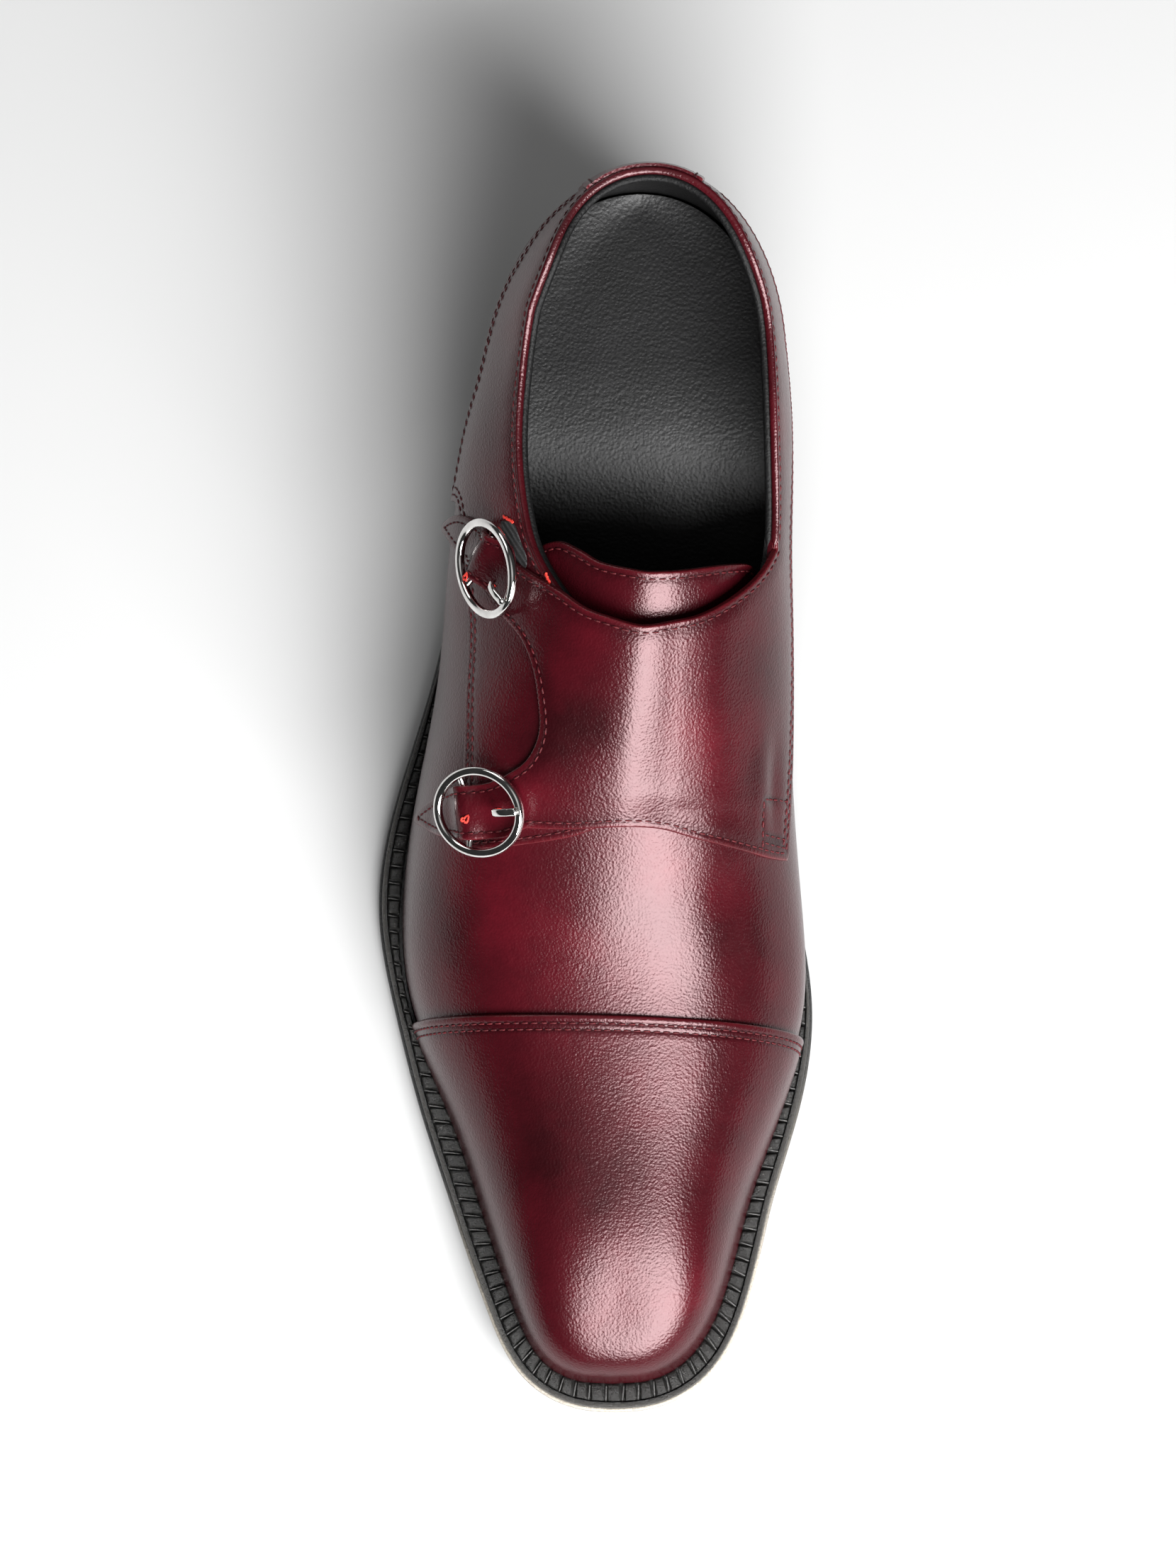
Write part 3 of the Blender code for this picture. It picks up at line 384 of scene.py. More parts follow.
# Sizes of the finer looks, millimetres.
STITCH = {"pitch": 2.4, "long": 1.75, "thread": 0.25, "sink": 0.16}
STITCH_RINGS = (  # share of the stitch's length from its middle, share of its thickness
    (-0.5, 0.35), (-0.4, 0.85), (0.0, 1.0), (0.4, 0.85), (0.5, 0.35),
)
SEAM = 1.75  # first row of stitches from an edge
SECOND_SEAM = 3.5
GROOVE = {"deep": 0.2, "wide": 0.42}
THREAD_RISE = STITCH["thread"] * 0.55  # of the middle of a thread over the bottom of its groove
ROUND = 0.5  # rounding of a panel's edge
CUT_EDGE = 0.5  # width of the paler leather along a cut edge, partly raw edge and partly painted highlight
NEAR_EDGE = (0.07, 0.22)  # rows of points this far in from an edge
NEAR_SEAM = 0.42  # and this far to both sides of a seam
SEAM_ROOM = 0.5  # no grid of points this near beyond the innermost seam,
LEAST_ROOM = 1.0  # or this near to the edge,
GRID_ROOM = 0.7  # and this much further
HELD = {"edge": 0.93, "seam": 0.97}  # share of its distance from the edge that a place must keep, moved in
ROW_SIDE = 0.005  # around value between a further row of stitches and the points beside it
STEP = 1.15  # between the points of an edge
FILL = 1.7  # between the points inside a panel
SAME = 1e-3  # points this near are one
SETTLE = 0.38  # panels are drawn this much nearer the leather under them than the CAD's clearance
WELD, DUST = 2e-6, 1e-7  # metres: points this near are made one, and edges this short are dissolved

# Wear: along, around, radius along, radius across, height (below 0 a hollow).
DENTS = (
    (150.5, 0.505, 9, 2.2, -0.75), (148, 0.44, 10, 2.6, 0.45), (158, 0.1, 1.6, 22, -0.35),
    (155, 0.08, 1.8, 22, 0.22), (176, 0.33, 6, 7, -0.5), (187, 0.18, 8, 8, 0.35),
    (191, 0.37, 7, 5, -0.35), (181, -0.06, 7, 8, 0.25), (133, 0.02, 12, 8, 0.3),
    (128, 0.33, 14, 6, -0.35), (140, -0.13, 10, 5, -0.3), (62, -0.7, 12, 7, 0.4),
    (48, -0.6, 10, 6, -0.35), (95, 0.6, 14, 7, -0.35), (60, 0.64, 14, 6, 0.35),
)
# The patina: along, around, spread, amount (above 0 brighter red, below 0 darker).
TONES = (
    (171, -0.38, 13, 0.26), (184, -0.27, 11, 0.3), (197, -0.18, 8, 0.22), (169, 0.11, 8, 0.4),
    (175, 0.28, 7, 0.3), (188, -0.08, 8, 0.25), (131, 0.14, 9, 0.3), (143, 0.24, 11, 0.42),
    (121, -0.16, 9, 0.35), (118, 0.1, 8, 0.15), (133, -0.43, 9, 0.5), (155, -0.26, 8, 0.6),
    (226, 0.2, 12, 0.1), (219, -0.39, 10, 0.12), (268, 0.42, 9, 0.25), (284, -0.1, 6, 0.15),
    (22, 0.42, 12, 0.45), (12, -0.36, 10, 0.35), (40, 0.62, 12, 0.3), (66, 0.58, 12, 0.25),
    (40, -0.46, 9, 0.3), (88, -0.5, 7, 0.45), (104, -0.12, 9, 0.2), (234, -0.29, 13, -0.38),
    (244, 0, 10, -0.34), (236, 0.3, 9, -0.15), (140, -0.17, 8, -0.42), (125, 0.45, 9, -0.34),
    (150, 0.4, 8, -0.2), (181, -0.55, 10, -0.3), (191, 0.48, 10, -0.25), (203, 0.05, 7, -0.1),
    (60, -0.62, 14, -0.25), (80, 0.62, 12, -0.2), (106, -0.52, 8, -0.1),
)
HOLES = {  # in the straps, along and around; the second of each holds the prong
    "upper": ((101, -0.57), (104.5, -0.505)),
    "lower": ((158.2, -0.372), (157.2, -0.295)),
}
GUSSET = ((89.4, -0.52), (90.4, -0.478), (94.5, -0.45), (100.5, -0.415), (104, -0.44), (99, -0.462),
          (96, -0.48), (93, -0.5))
RED_CUTS = (
    ((88.4, -0.512), (89.4, -0.494), (90.6, -0.474)),
    ((103.6, -0.352), (105, -0.341), (106.4, -0.328)),
)
BARTACK = (
    ((153.6, 0.45), (160, 0.449), (165, 0.448)),
    ((153.4, 0.455), (153, 0.52), (152.6, 0.59)),
    ((161.6, 0.455), (161.8, 0.52), (161.8, 0.575)),
    ((163.5, 0.455), (163.8, 0.52), (163.8, 0.572)),
)


# ---- meshes --------------------------------------------------------------------------------------

# From the pattern's x to the frame's: the outsole's lateral edge lies on its CAD box.
SHIFT = np.array([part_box("outsole")[0].x / MM, 0.0, 0.0])
SHIFT[0] -= float(sole_outline(np.arange(BACK, TIP, 0.05), -1)[:, 0].min())


def piece(name, points, faces, finish, stands_for=(), marks=None, sharp=50):
    """A piece from points in millimetres. marks are values at the points, for its finish."""
    material, slot = finish
    mesh = bpy.data.meshes.new(name)
    mesh.from_pydata(((np.asarray(points, float).reshape(-1, 3) + SHIFT) * MM).tolist(), [], faces)
    for mark, values in (marks or {}).items():
        layer = mesh.attributes.new(mark, "FLOAT", "POINT")
        layer.data.foreach_set("value", np.asarray(values, np.float32).ravel())
    work = bmesh.new()
    work.from_mesh(mesh)
    bmesh.ops.delete(work, geom=[v for v in work.verts if not v.link_faces], context="VERTS")
    bmesh.ops.remove_doubles(work, verts=work.verts, dist=WELD)
    bmesh.ops.dissolve_degenerate(work, edges=work.edges, dist=DUST)
    bmesh.ops.recalc_face_normals(work, faces=work.faces)
    work.to_mesh(mesh)
    work.free()
    mesh.materials.append(material)
    mesh.shade_smooth()
    mesh.set_sharp_from_angle(angle=math.radians(sharp))
    made = bpy.data.objects.new(name, mesh)
    bpy.context.scene.collection.objects.link(made)
    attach(made, "root")
    if stands_for:
        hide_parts(*stands_for)


def grid_faces(rows, cols, first=0, closed=False):
    """Quads between neighbouring rows of points."""
    j = np.arange(cols if closed else cols - 1)
    k = (j + 1) % cols
    row = first + np.arange(rows - 1)[:, None] * cols
    return np.stack([row + j, row + k, row + cols + k, row + cols + j], -1).reshape(-1, 4).tolist()


def joined(points):
    """For each point, the number of the point kept at its place."""
    work = bmesh.new()
    corners = [work.verts.new(p) for p in points]
    same = bmesh.ops.find_doubles(work, verts=work.verts, dist=SAME)["targetmap"]
    number = {corner: i for i, corner in enumerate(corners)}
    kept = [number[same.get(corner, corner)] for corner in corners]
    work.free()
    return kept


def closed_faces(high, faces):
    """Faces of a solid between two matching sheets: high is first in its points, low follows."""
    kept, count, uses, solid = joined(high), len(high), {}, []
    for face in faces:
        face = tuple(dict.fromkeys(kept[i] for i in face))
        if len(face) < 3:
            continue
        solid += [face, tuple(i + count for i in reversed(face))]
        for edge in zip(face, face[1:] + face[:1]):
            key = (min(edge), max(edge))
            uses[key] = uses.get(key, 0) + 1
    solid += [(b, a, a + count, b + count) for (a, b), n in uses.items() if n == 1]
    return solid


def tube_faces(rows, cols, first=0):
    """Faces of a tube of closed rows of points, with both its ends."""
    last = first + (rows - 1) * cols
    ends = [tuple(range(first, first + cols)), tuple(range(last + cols - 1, last - 1, -1))]
    return grid_faces(rows, cols, first, closed=True) + ends


def sweep(name, sections, finish, stands_for=(), marks=None, ends=True, ring=False):
    """A solid from closed loops of points, one for each row."""
    sections = np.asarray(sections, float)
    rows, cols, _ = sections.shape
    faces = tube_faces(rows, cols) if ends and not ring else grid_faces(rows, cols, closed=True)
    if ring:
        last = (rows - 1) * cols
        faces += [(last + j, last + (j + 1) % cols, (j + 1) % cols, j) for j in range(cols)]
    piece(name, sections, faces, finish, stands_for, marks)


# ---- marks on the leather ------------------------------------------------------------------------


def near(along, around, row):
    """How near places are to a spot of the table, 1 on it: along, around, radius along, radius across."""
    spot_along, spot_around, long, wide = row
    far = ((along - spot_along) / long) ** 2 + ((around - spot_around) * GIRTH / wide) ** 2
    return np.exp(-far)


def relief(along, around):
    """Hollows and swellings of the worn leather."""
    return sum(height * near(along, around, spot) for *spot, height in DENTS)


def tone(along, around):
    """The patina, above 0 where the burnish is rubbed bright."""
    return sum(amount * near(along, around, (a, g, r, r)) for a, g, r, amount in TONES)


def line_distance(points, line, closed=True):
    """Distance from each point to a line through points."""
    a = line if closed else line[:-1]
    span = np.roll(line, -1, 0) - line if closed else np.diff(line, axis=0)
    size = (span**2).sum(1) + 1e-12
    best = []
    for chunk in np.array_split(points, max(1, len(points) // 1500)):
        rel = chunk[:, None] - a[None]
        t = np.clip((rel * span).sum(-1) / size, 0, 1)
        far = np.linalg.norm(rel - t[..., None] * span, axis=-1)
        best.append(far.min(1))
    return np.concatenate(best)


def inside(polygon, points):
    """Whether flat points lie in a polygon."""
    result = np.zeros(len(points), bool)
    for (ax, ay), (bx, by) in zip(polygon, np.roll(polygon, -1, 0)):
        crosses = (ay > points[:, 1]) != (by > points[:, 1])
        if ay != by:
            result ^= crosses & (points[:, 0] < (bx - ax) * (points[:, 1] - ay) / (by - ay) + ax)
    return result


def resample(curve, step):
    """Places about step millimetres apart along a curve of places, without its last point."""
    curve = np.asarray(curve, float)
    run = run_along(last_point(curve[:, 0], curve[:, 1]))
    at = np.linspace(0, run[-1], max(1, round(run[-1] / step)) + 1)[:-1]
    return np.stack([np.interp(at, run, curve[:, 0]), np.interp(at, run, curve[:, 1])], 1)


def curve(points, per_span=8):
    """A smooth curve through pattern points, with its last point."""
    return np.array([*through(points, per_span), points[-1]])


def moved_in(loop, distance):
    """A closed loop of places, moved in by a distance over the skin of the last."""
    along, around = loop.T
    solid = last_point(along, around)
    tangent = unit(np.roll(solid, -1, 0) - np.roll(solid, 1, 0))
    flat = loop * (1, GIRTH)
    turn = np.sign((flat[:, 0] * np.roll(flat[:, 1], -1) - flat[:, 1] * np.roll(flat[:, 0], -1)).sum())
    want = np.cross(skin_normal(along, around), tangent) * turn * distance
    da, dg = MOVE_NUDGE
    a = (last_point(along + da, around) - last_point(along - da, around)) / (2 * da)
    g = (last_point(along, around + dg) - last_point(along, around - dg)) / (2 * dg)
    aa, ag, gg = (a * a).sum(1), (a * g).sum(1), (g * g).sum(1)
    aw, gw, det = (a * want).sum(1), (g * want).sum(1), aa * gg - ag**2
    return loop + np.stack([(gg * aw - ag * gw) / det, (aa * gw - ag * aw) / det], 1)


def worn(tones, edge=0.0, seam=0.0):
    """Marks for burgundy leather: its patina, its paler edge (partly raw edge, partly a painted highlight),
    and the painted shade that darkens a seam's groove.
    """
    return {"tone": tones, "edge": edge, "seam": seam}


def edge_drop(far, radius=ROUND):
    """How much lower leather lies than its face, this far from its rounded edge."""
    return radius - np.sqrt(np.maximum(radius**2 - np.maximum(radius - far, 0) ** 2, 0))


def furrow(far):
    """Share of a seam's groove, this far from the seam."""
    return np.exp(-((far / GROOVE["wide"]) ** 2))


def pale_edge_and_highlight(far):
    """Share of the paler cut edge, this far from it: partly the raw edge's own colour, partly a painted
    highlight along the edge.
    """
    return np.exp(-((far / CUT_EDGE) ** 2))


# ---- stitches ------------------------------------------------------------------------------------

stitched = {}  # name of a piece of stitches: its parts


def add_stitches(group, points, normals, size=STITCH):
    """Threads laid along a line of points, raised in the middle and sunk at both ends."""
    run = run_along(points)
    count = int(run[-1] // size["pitch"])
    if count < 1:
        return
    middles = (np.arange(count) + 0.5) * run[-1] / count

    def at(s, values):
        return np.stack([np.interp(s, run, values[:, k]) for k in range(3)], -1)

    centre, normal = at(middles, points), at(middles, normals)
    ahead = at(middles + 0.3, points) - at(middles - 0.3, points)
    ahead = unit(ahead - normal * (ahead * normal).sum(1, keepdims=True))
    side = np.cross(normal, ahead)
    rings, corners = [], 6
    for share, fat in STITCH_RINGS:
        middle = centre + ahead * share * size["long"] - normal * size["sink"] * (2 * share) ** 2
        for turn in np.arange(corners) * 2 * math.pi / corners:
            swing = side * math.cos(turn) + normal * math.sin(turn)
            rings.append(middle + swing * fat * size["thread"])
    rings = np.stack(rings, 1)
    rows, each = len(STITCH_RINGS), rings.shape[1]
    faces = [face for k in range(count) for face in tube_faces(rows, corners, k * each)]
    stitched.setdefault(group, []).append((rings.reshape(-1, 3), faces))


def sew(group, along, around, lift):
    """Stitches along places of the last, in a groove whose bottom is at this lift."""
    add_stitches(group, skin(along, around, lift + THREAD_RISE), skin_normal(along, around))


def finish_stitches():
    """One piece for each group of stitches."""
    for group, parts in stitched.items():
        finish = WELT_THREAD if group == "welt_stitches" else THREAD
        points, faces, first = [], [], 0
        for part, own in parts:
            points.append(part)
            faces += [tuple(i + first for i in face) for face in own]
            first += len(part)
        piece(group, np.vstack(points), faces, finish, sharp=80)


# ---- panels --------------------------------------------------------------------------------------


def panel(name, runs, lifts, finish, group=None, stands_for=(), rows=(), round_off=ROUND, fill=FILL,
          reliefs=True):
    """A flat pattern wrapped on the last, with rounded edges and stitched seams.

    runs are its edges in order, each with the distances of its seams from it. rows are further stitches."""
    parts = [resample(places, STEP) for places, _ in runs]
    loop = np.vstack(parts)
    owner = np.concatenate([np.full(len(part), i) for i, part in enumerate(parts)])
    edge = last_point(*loop.T)
    flat = loop * (1, GIRTH)

    def kept(places, least):
        far = line_distance(last_point(*places.T), edge)
        return (far > least) & inside(flat, places * (1, GIRTH)) & (np.abs(places[:, 1]) < 1)

    seeds, deepest = [], LEAST_ROOM
    for inset in (*NEAR_EDGE, round_off):
        ring = moved_in(loop, inset)
        seeds.append(ring[kept(ring, inset * HELD["edge"])])
    paths = [np.asarray(row, float) for row in rows]
    for i, (_, distances) in enumerate(runs):
        for distance in distances:
            deepest = max(deepest, distance + SEAM_ROOM)
            for inset in (distance - NEAR_SEAM, distance, distance + NEAR_SEAM):
                ring = moved_in(loop, inset)[owner == i]
                ring = ring[kept(ring, inset * HELD["seam"])]
                if len(ring) > 1:
                    seeds.append(ring)
                    if inset == distance:
                        paths.append(ring)
    for row in paths[: len(rows)]:
        seeds += [resample(row, STEP) + (0, shift) for shift in (-ROW_SIDE, 0, ROW_SIDE)]
    alongs = np.arange(loop[:, 0].min(), loop[:, 0].max(), fill)
    arounds = np.arange(loop[:, 1].min(), loop[:, 1].max(), fill / GIRTH)
    grid = np.array([(a, g) for i, a in enumerate(alongs) for g in arounds + (i % 2) * fill / 2 / GIRTH])
    grid = grid[kept(grid, max(deepest, round_off) + GRID_ROOM)]
    seeds = [Vector(p) for p in np.vstack([loop, *seeds, grid]) * (1, GIRTH)]
    border = [(i, (i + 1) % len(loop)) for i in range(len(loop))]
    points, _, faces, *_ = delaunay_2d_cdt(seeds, border, [], 1, SAME)
    places = np.array([tuple(p) for p in points]) / (1, GIRTH)
    solid = last_point(*places.T)
    far, groove = line_distance(solid, edge), np.zeros(len(places))
    for path in paths:
        groove = np.maximum(groove, furrow(line_distance(solid, last_point(*path.T), closed=False)))
    low, high = lifts(*places.T)
    bend = relief(*places.T) if reliefs else 0
    top = high + bend - edge_drop(far, round_off) - GROOVE["deep"] * groove
    outer, inner = skin(*places.T, top), skin(*places.T, low + bend)
    # rubbed holds the paler edge: partly the raw edge's colour, partly a painted highlight along it.
    rubbed = np.concatenate([pale_edge_and_highlight(far), np.ones(len(places))])
    # The groove share also darkens the colour along the seams: painted shade.
    marks = worn(np.tile(tone(*places.T), 2), rubbed, np.tile(groove, 2))
    piece(name, np.vstack([outer, inner]), closed_faces(outer, faces), finish, stands_for, marks)
    for path in paths if group else ():
        path = curve(path, 2) if len(path) < 5 else path
        _, face = lifts(*path.T)
        sew(group, *path.T, face + (relief(*path.T) if reliefs else 0) - GROOVE["deep"])


def collar_line(start, stop, side, count=70):
    alongs = np.linspace(start, stop, count)
    return np.stack([alongs, collar_around(alongs, side)], 1)


# ---- finishes ------------------------------------------------------------------------------------


def set_stops(ramp, stops):
    """Fill a colour ramp: each stop is (position, colour)."""
    while len(ramp.elements) < len(stops):
        ramp.elements.new(0.5)
    for element, (position, colour) in zip(ramp.elements, stops):
        element.position, element.color = position, (*colour, 1)


def grey(value):
    return (value, value, value)


def fill(tree, node, inputs):
    """Set a node's inputs to values, or link them from sockets."""
    for key, value in inputs.items():
        if isinstance(value, bpy.types.NodeSocket):
            tree.links.new(value, node.inputs[key])
        else:
            node.inputs[key].default_value = value


def add_node(tree, kind, inputs=None, **settings):
    made = tree.nodes.new(kind)
    for key, value in settings.items():
        setattr(made, key, value)
    fill(tree, made, inputs or {})
    return made


class Finish:
    """A procedural material, built node by node."""

    def __init__(self, name):
        self.material = bpy.data.materials.new(name)
        self.material.use_nodes = True
        self.tree = self.material.node_tree
        self.place = self.node("ShaderNodeTexCoord").outputs["Object"]

    def node(self, kind, inputs=None, **settings):
        return add_node(self.tree, kind, inputs, **settings)

    def math(self, operation, a, b=0.0):
        return self.node("ShaderNodeMath", {0: a, 1: b}, operation=operation).outputs[0]

    def times(self, value, gain):
        return self.math("MULTIPLY", value, gain)

    def swing(self, value, gain):
        """A noise made to swing about 0."""
        return self.times(self.math("SUBTRACT", value, 0.5), gain)

    def total(self, first, *others):
        for other in others:
            first = self.math("ADD", first, other)
        return first

    def noise(self, scale, detail=3.0, roughness=0.5, distortion=0.0):
        inputs = {"Vector": self.place, "Scale": scale, "Detail": detail, "Roughness": roughness,
                  "Distortion": distortion}
        return self.node("ShaderNodeTexNoise", inputs).outputs[0]

    def cells(self, scale):
        inputs = {"Vector": self.place, "Scale": scale}
        return self.node("ShaderNodeTexVoronoi", inputs, feature="SMOOTH_F1").outputs[0]

    def mark(self, name):
        return self.node("ShaderNodeAttribute", attribute_name=name).outputs["Fac"]

    def ramp(self, fac, stops):
        made = self.node("ShaderNodeValToRGB", {"Fac": fac})
        set_stops(made.color_ramp, stops)
        return made.outputs["Color"]

    def mix(self, fac, under, over):
        """A colour socket with a plain colour laid over it."""
        return self.node("ShaderNodeMix", {0: fac, 6: under, 7: (*over, 1)}, data_type="RGBA").outputs[2]

    def bump(self, height, strength, distance, under=None):
        inputs = {"Strength": strength, "Distance": distance, "Height": height}
        if under is not None:
            inputs["Normal"] = under
        return self.node("ShaderNodeBump", inputs).outputs["Normal"]

    def done(self, **sockets):
        shader = self.tree.nodes["Principled BSDF"]
        fill(self.tree, shader, {key.replace("_", " "): value for key, value in sockets.items()})
        return self.material


def burgundy_calf():
    """Burnished calf: a dark ground, burnished bright where the patina marks say, paler at its edges (partly
    a painted highlight), darkened in seam grooves as painted shade, with a fine pebble grain.
    """
    f = Finish("burgundy_calf")
    mottle, cloud, speck = f.noise(30, 2, 0.5, 0.4), f.noise(105, 4, 0.6), f.noise(520, 3, 0.6)
    level = f.total(0.44, f.times(f.mark("tone"), 0.36), f.swing(mottle, 0.36),
                    f.swing(cloud, 0.26), f.swing(speck, 0.10))
    colour = f.ramp(level, ((0.0, (0.004, 0.0008, 0.0012)), (0.28, (0.0125, 0.0011, 0.0019)),
                            (0.5, (0.028, 0.0016, 0.0034)), (0.72, (0.052, 0.0024, 0.0055)),
                            (1.0, (0.085, 0.0040, 0.0080))))
    # The edge mark pales the leather: partly the raw edge, partly a painted highlight along edges and on the
    # collar roll's upper side.
    worn = f.times(f.mark("edge"), f.total(f.swing(cloud, 0.8), 0.32))
    colour = f.mix(worn, colour, (0.10, 0.008, 0.011))
    # Painted shade: the seam mark darkens the leather in the seam grooves.
    colour = f.mix(f.times(f.mark("seam"), 0.8), colour, (0.004, 0.0006, 0.0009))
    grain, fine = f.cells(1750), f.noise(3400, 2, 0.6)
    height = f.total(f.times(grain, 0.8), f.times(fine, 0.35))
    normal = f.bump(height, 0.42, 0.00024, f.bump(f.noise(240, 3, 0.5), 0.05, 0.0006))
    rough = f.total(0.25, f.swing(speck, 0.04), f.swing(mottle, 0.08))
    return f.done(Base_Color=colour, Roughness=rough, Normal=normal, Specular_IOR_Level=0.34,
                  Specular_Tint=(1.0, 0.72, 0.74, 1.0))


def fibres(name, noise, stops, rough, bump, gloss=0.5):
    """Raw or twisted fibres: colour and bump both follow one noise."""
    f = Finish(name)
    fibre = f.noise(*noise)
    return f.done(Base_Color=f.ramp(fibre, stops), Roughness=rough, Normal=f.bump(fibre, *bump),
                  Specular_IOR_Level=gloss)


def black_calf(name, scale, rough, shade, gloss):
    """Black leather with a pebble of the given scale and soft creases."""
    f = Finish(name)
    cloud, pebble, fine = f.noise(60, 3, 0.5), f.cells(scale), f.noise(scale * 2.2, 3, 0.6)
    colour = f.ramp(cloud, ((0.3, grey(shade * 0.7)), (0.7, (shade * 1.6, shade * 1.55, shade * 1.65))))
    height = f.total(f.times(pebble, 0.9), f.times(fine, 0.5))
    normal = f.bump(height, 0.42, 0.0004, f.bump(f.noise(90, 3, 0.5), 0.16, 0.0010))
    return f.done(Base_Color=colour, Roughness=f.total(rough, f.swing(fine, 0.2)), Normal=normal,
                  Specular_IOR_Level=gloss)


def thread(name, dark, light):
    return fibres(name, (2400, 2, 0.6), ((0.3, dark), (0.7, light)), 0.55, (0.5, 0.00025), 0.2)


def polished_nickel():
    f = Finish("polished_nickel_fine")
    haze, scratch = f.noise(260, 4, 0.6), f.noise(2800, 2, 0.5)
    colour = f.ramp(haze, ((0.3, (0.62, 0.61, 0.59)), (0.7, (0.80, 0.79, 0.77))))
    rough = f.total(0.075, f.swing(haze, 0.07))
    return f.done(Base_Color=colour, Metallic=1.0, Roughness=rough, Normal=f.bump(scratch, 0.06, 0.0001))


def waxed_welt():
    """Black waxed leather with scuffs, paler where the marks say it is worn."""
    f = Finish("waxed_black_welt")
    cloud, grit, fine = f.noise(300, 4, 0.65), f.noise(1500, 4, 0.75), f.noise(4200, 3, 0.7)
    colour = f.ramp(cloud, ((0.3, grey(0.0025)), (0.72, (0.008, 0.0077, 0.0074))))
    speck = f.math("GREATER_THAN", f.total(grit, f.times(f.mark("worn"), 0.12)), 0.665)
    colour = f.mix(f.times(speck, 0.55), colour, (0.20, 0.19, 0.17))
    bare = f.times(f.mark("worn"), f.total(f.swing(grit, 1.6), 0.75))
    bare = f.node("ShaderNodeClamp", {"Value": bare}).outputs[0]
    colour = f.mix(bare, colour, (0.42, 0.38, 0.32))
    rough = f.total(0.32, f.swing(grit, 0.5), f.times(f.mark("worn"), 0.25))
    height = f.total(f.times(grit, 0.8), f.times(fine, 0.4))
    return f.done(Base_Color=colour, Roughness=rough, Normal=f.bump(height, 0.75, 0.0007),
                  Specular_IOR_Level=0.4)


def rubber():
    f = Finish("black_rubber_lift")
    grit, fine = f.noise(700, 4, 0.6), f.noise(3000, 3, 0.7)
    colour = f.ramp(grit, ((0.3, grey(0.010)), (0.7, grey(0.020))))
    return f.done(Base_Color=colour, Roughness=f.total(0.6, f.swing(grit, 0.2)),
                  Normal=f.bump(fine, 0.4, 0.0005))


def elastic():
    """Black elastic webbing: fine cords along its run."""
    f = Finish("black_elastic")
    cords = f.node("ShaderNodeTexWave", {"Vector": f.place, "Scale": 260.0, "Distortion": 1.2, "Detail": 2.0},
                   bands_direction="DIAGONAL").outputs["Fac"]
    knit = f.noise(3000, 2, 0.6)
    colour = f.ramp(cords, ((0.2, grey(0.003)), (0.8, (0.018, 0.018, 0.019))))
    height = f.total(cords, f.times(knit, 0.5))
    return f.done(Base_Color=colour, Roughness=0.7, Normal=f.bump(height, 0.8, 0.0008))


# The bright red raw cut of the dyed leather.
RED_FIBRES = ((0.25, (0.16, 0.004, 0.004)), (0.5, (0.62, 0.020, 0.012)), (0.75, (0.90, 0.090, 0.040)))
# Each finish is a material and its slot.
CALF = burgundy_calf(), "burgundy_leather"
RAW = fibres("raw_red_cut", (2600, 3, 0.7), RED_FIBRES, 0.75, (0.8, 0.0004)), "burgundy_leather"
LINING = black_calf("black_lining_calf", 1500, 0.55, 0.002, 0.15), "black_leather"
SOCK = black_calf("black_sock_calf", 1300, 0.50, 0.004, 0.38), "black_leather"
THREAD = thread("burgundy_thread", (0.014, 0.0016, 0.0025), (0.085, 0.0060, 0.0090)), "burgundy_leather"
WELT_THREAD = thread("waxed_grey_thread", grey(0.014), (0.10, 0.098, 0.095)), "black_leather"
NICKEL = polished_nickel(), "polished_nickel"
WAXED = waxed_welt(), "black_leather"
RUBBER = rubber(), "black_rubber"
ELASTIC = elastic(), "black_leather"


# ---- the upper -----------------------------------------------------------------------------------


def wrapped(name, alongs, arounds, outer, inner, finish, marks, stands_for=()):
    """Leather between two lifts, from grids of places on the last: (grid, row, column)."""
    grids, rows, cols = arounds.shape
    faces = [face for k in range(grids) for face in grid_faces(rows, cols, k * rows * cols)]
    alongs, arounds = alongs.ravel(), arounds.ravel()
    high, low = (skin(alongs, arounds, np.ravel(lift)) for lift in (outer, inner))
    marks = {key: np.tile(np.broadcast_to(np.ravel(value), alongs.shape), 2) for key, value in marks.items()}
    piece(name, np.vstack([high, low]), closed_faces(high, faces), finish, stands_for, marks)


CALF_THICK = 0.95  # leather of the upper
LINING_FACE = -1.05  # lift of the lining's outer face


THROAT_ROWS = (THROAT - 3, THROAT - 1.5, THROAT)  # further rows where the two sides of the collar meet


def body_grid(step, cols):
    """Places over the whole body, open at the collar."""
    walk = merged(np.arange(BACK, TIP, step), THROAT_ROWS, [TIP])
    share = np.linspace(0, 1, cols + 1)
    arounds = []
    for side in (-1, 1):
        top = np.where(walk < THROAT, collar_around(walk, side), 0.0)
        arounds.append(side * (1 - share) + top[:, None] * share)
    arounds = np.array(arounds)
    return np.broadcast_to(walk[:, None], arounds.shape), arounds


def make_body():
    """The vamp and counter in one, and the lining inside it."""
    alongs, arounds = body_grid(step=1.5, cols=48)
    flat = alongs.ravel(), arounds.ravel()
    lift = relief(*flat)
    wrapped("vamp_and_counter", alongs, arounds, lift, lift - CALF_THICK, CALF,
            worn(tone(*flat)), ("upper",))
    alongs, arounds = body_grid(step=2.6, cols=22)
    wrapped("lining", alongs, arounds, LINING_FACE, -UPPER_WALL, LINING, {})


# Of a rolled edge: between its rows, points in a row, the length of its tapered ends, the share left there.
BEAD = {"step": 0.9, "corners": 16, "taper": 3.0, "tip": 0.05}
ROLL_ENDS = (113, 97)  # along values where it dives under the flap, lateral and medial
ROLL_TONE, ROLL_HIGHLIGHT = -0.25, 0.25  # the collar roll is burnished dark, and paler on its upper side as a painted highlight
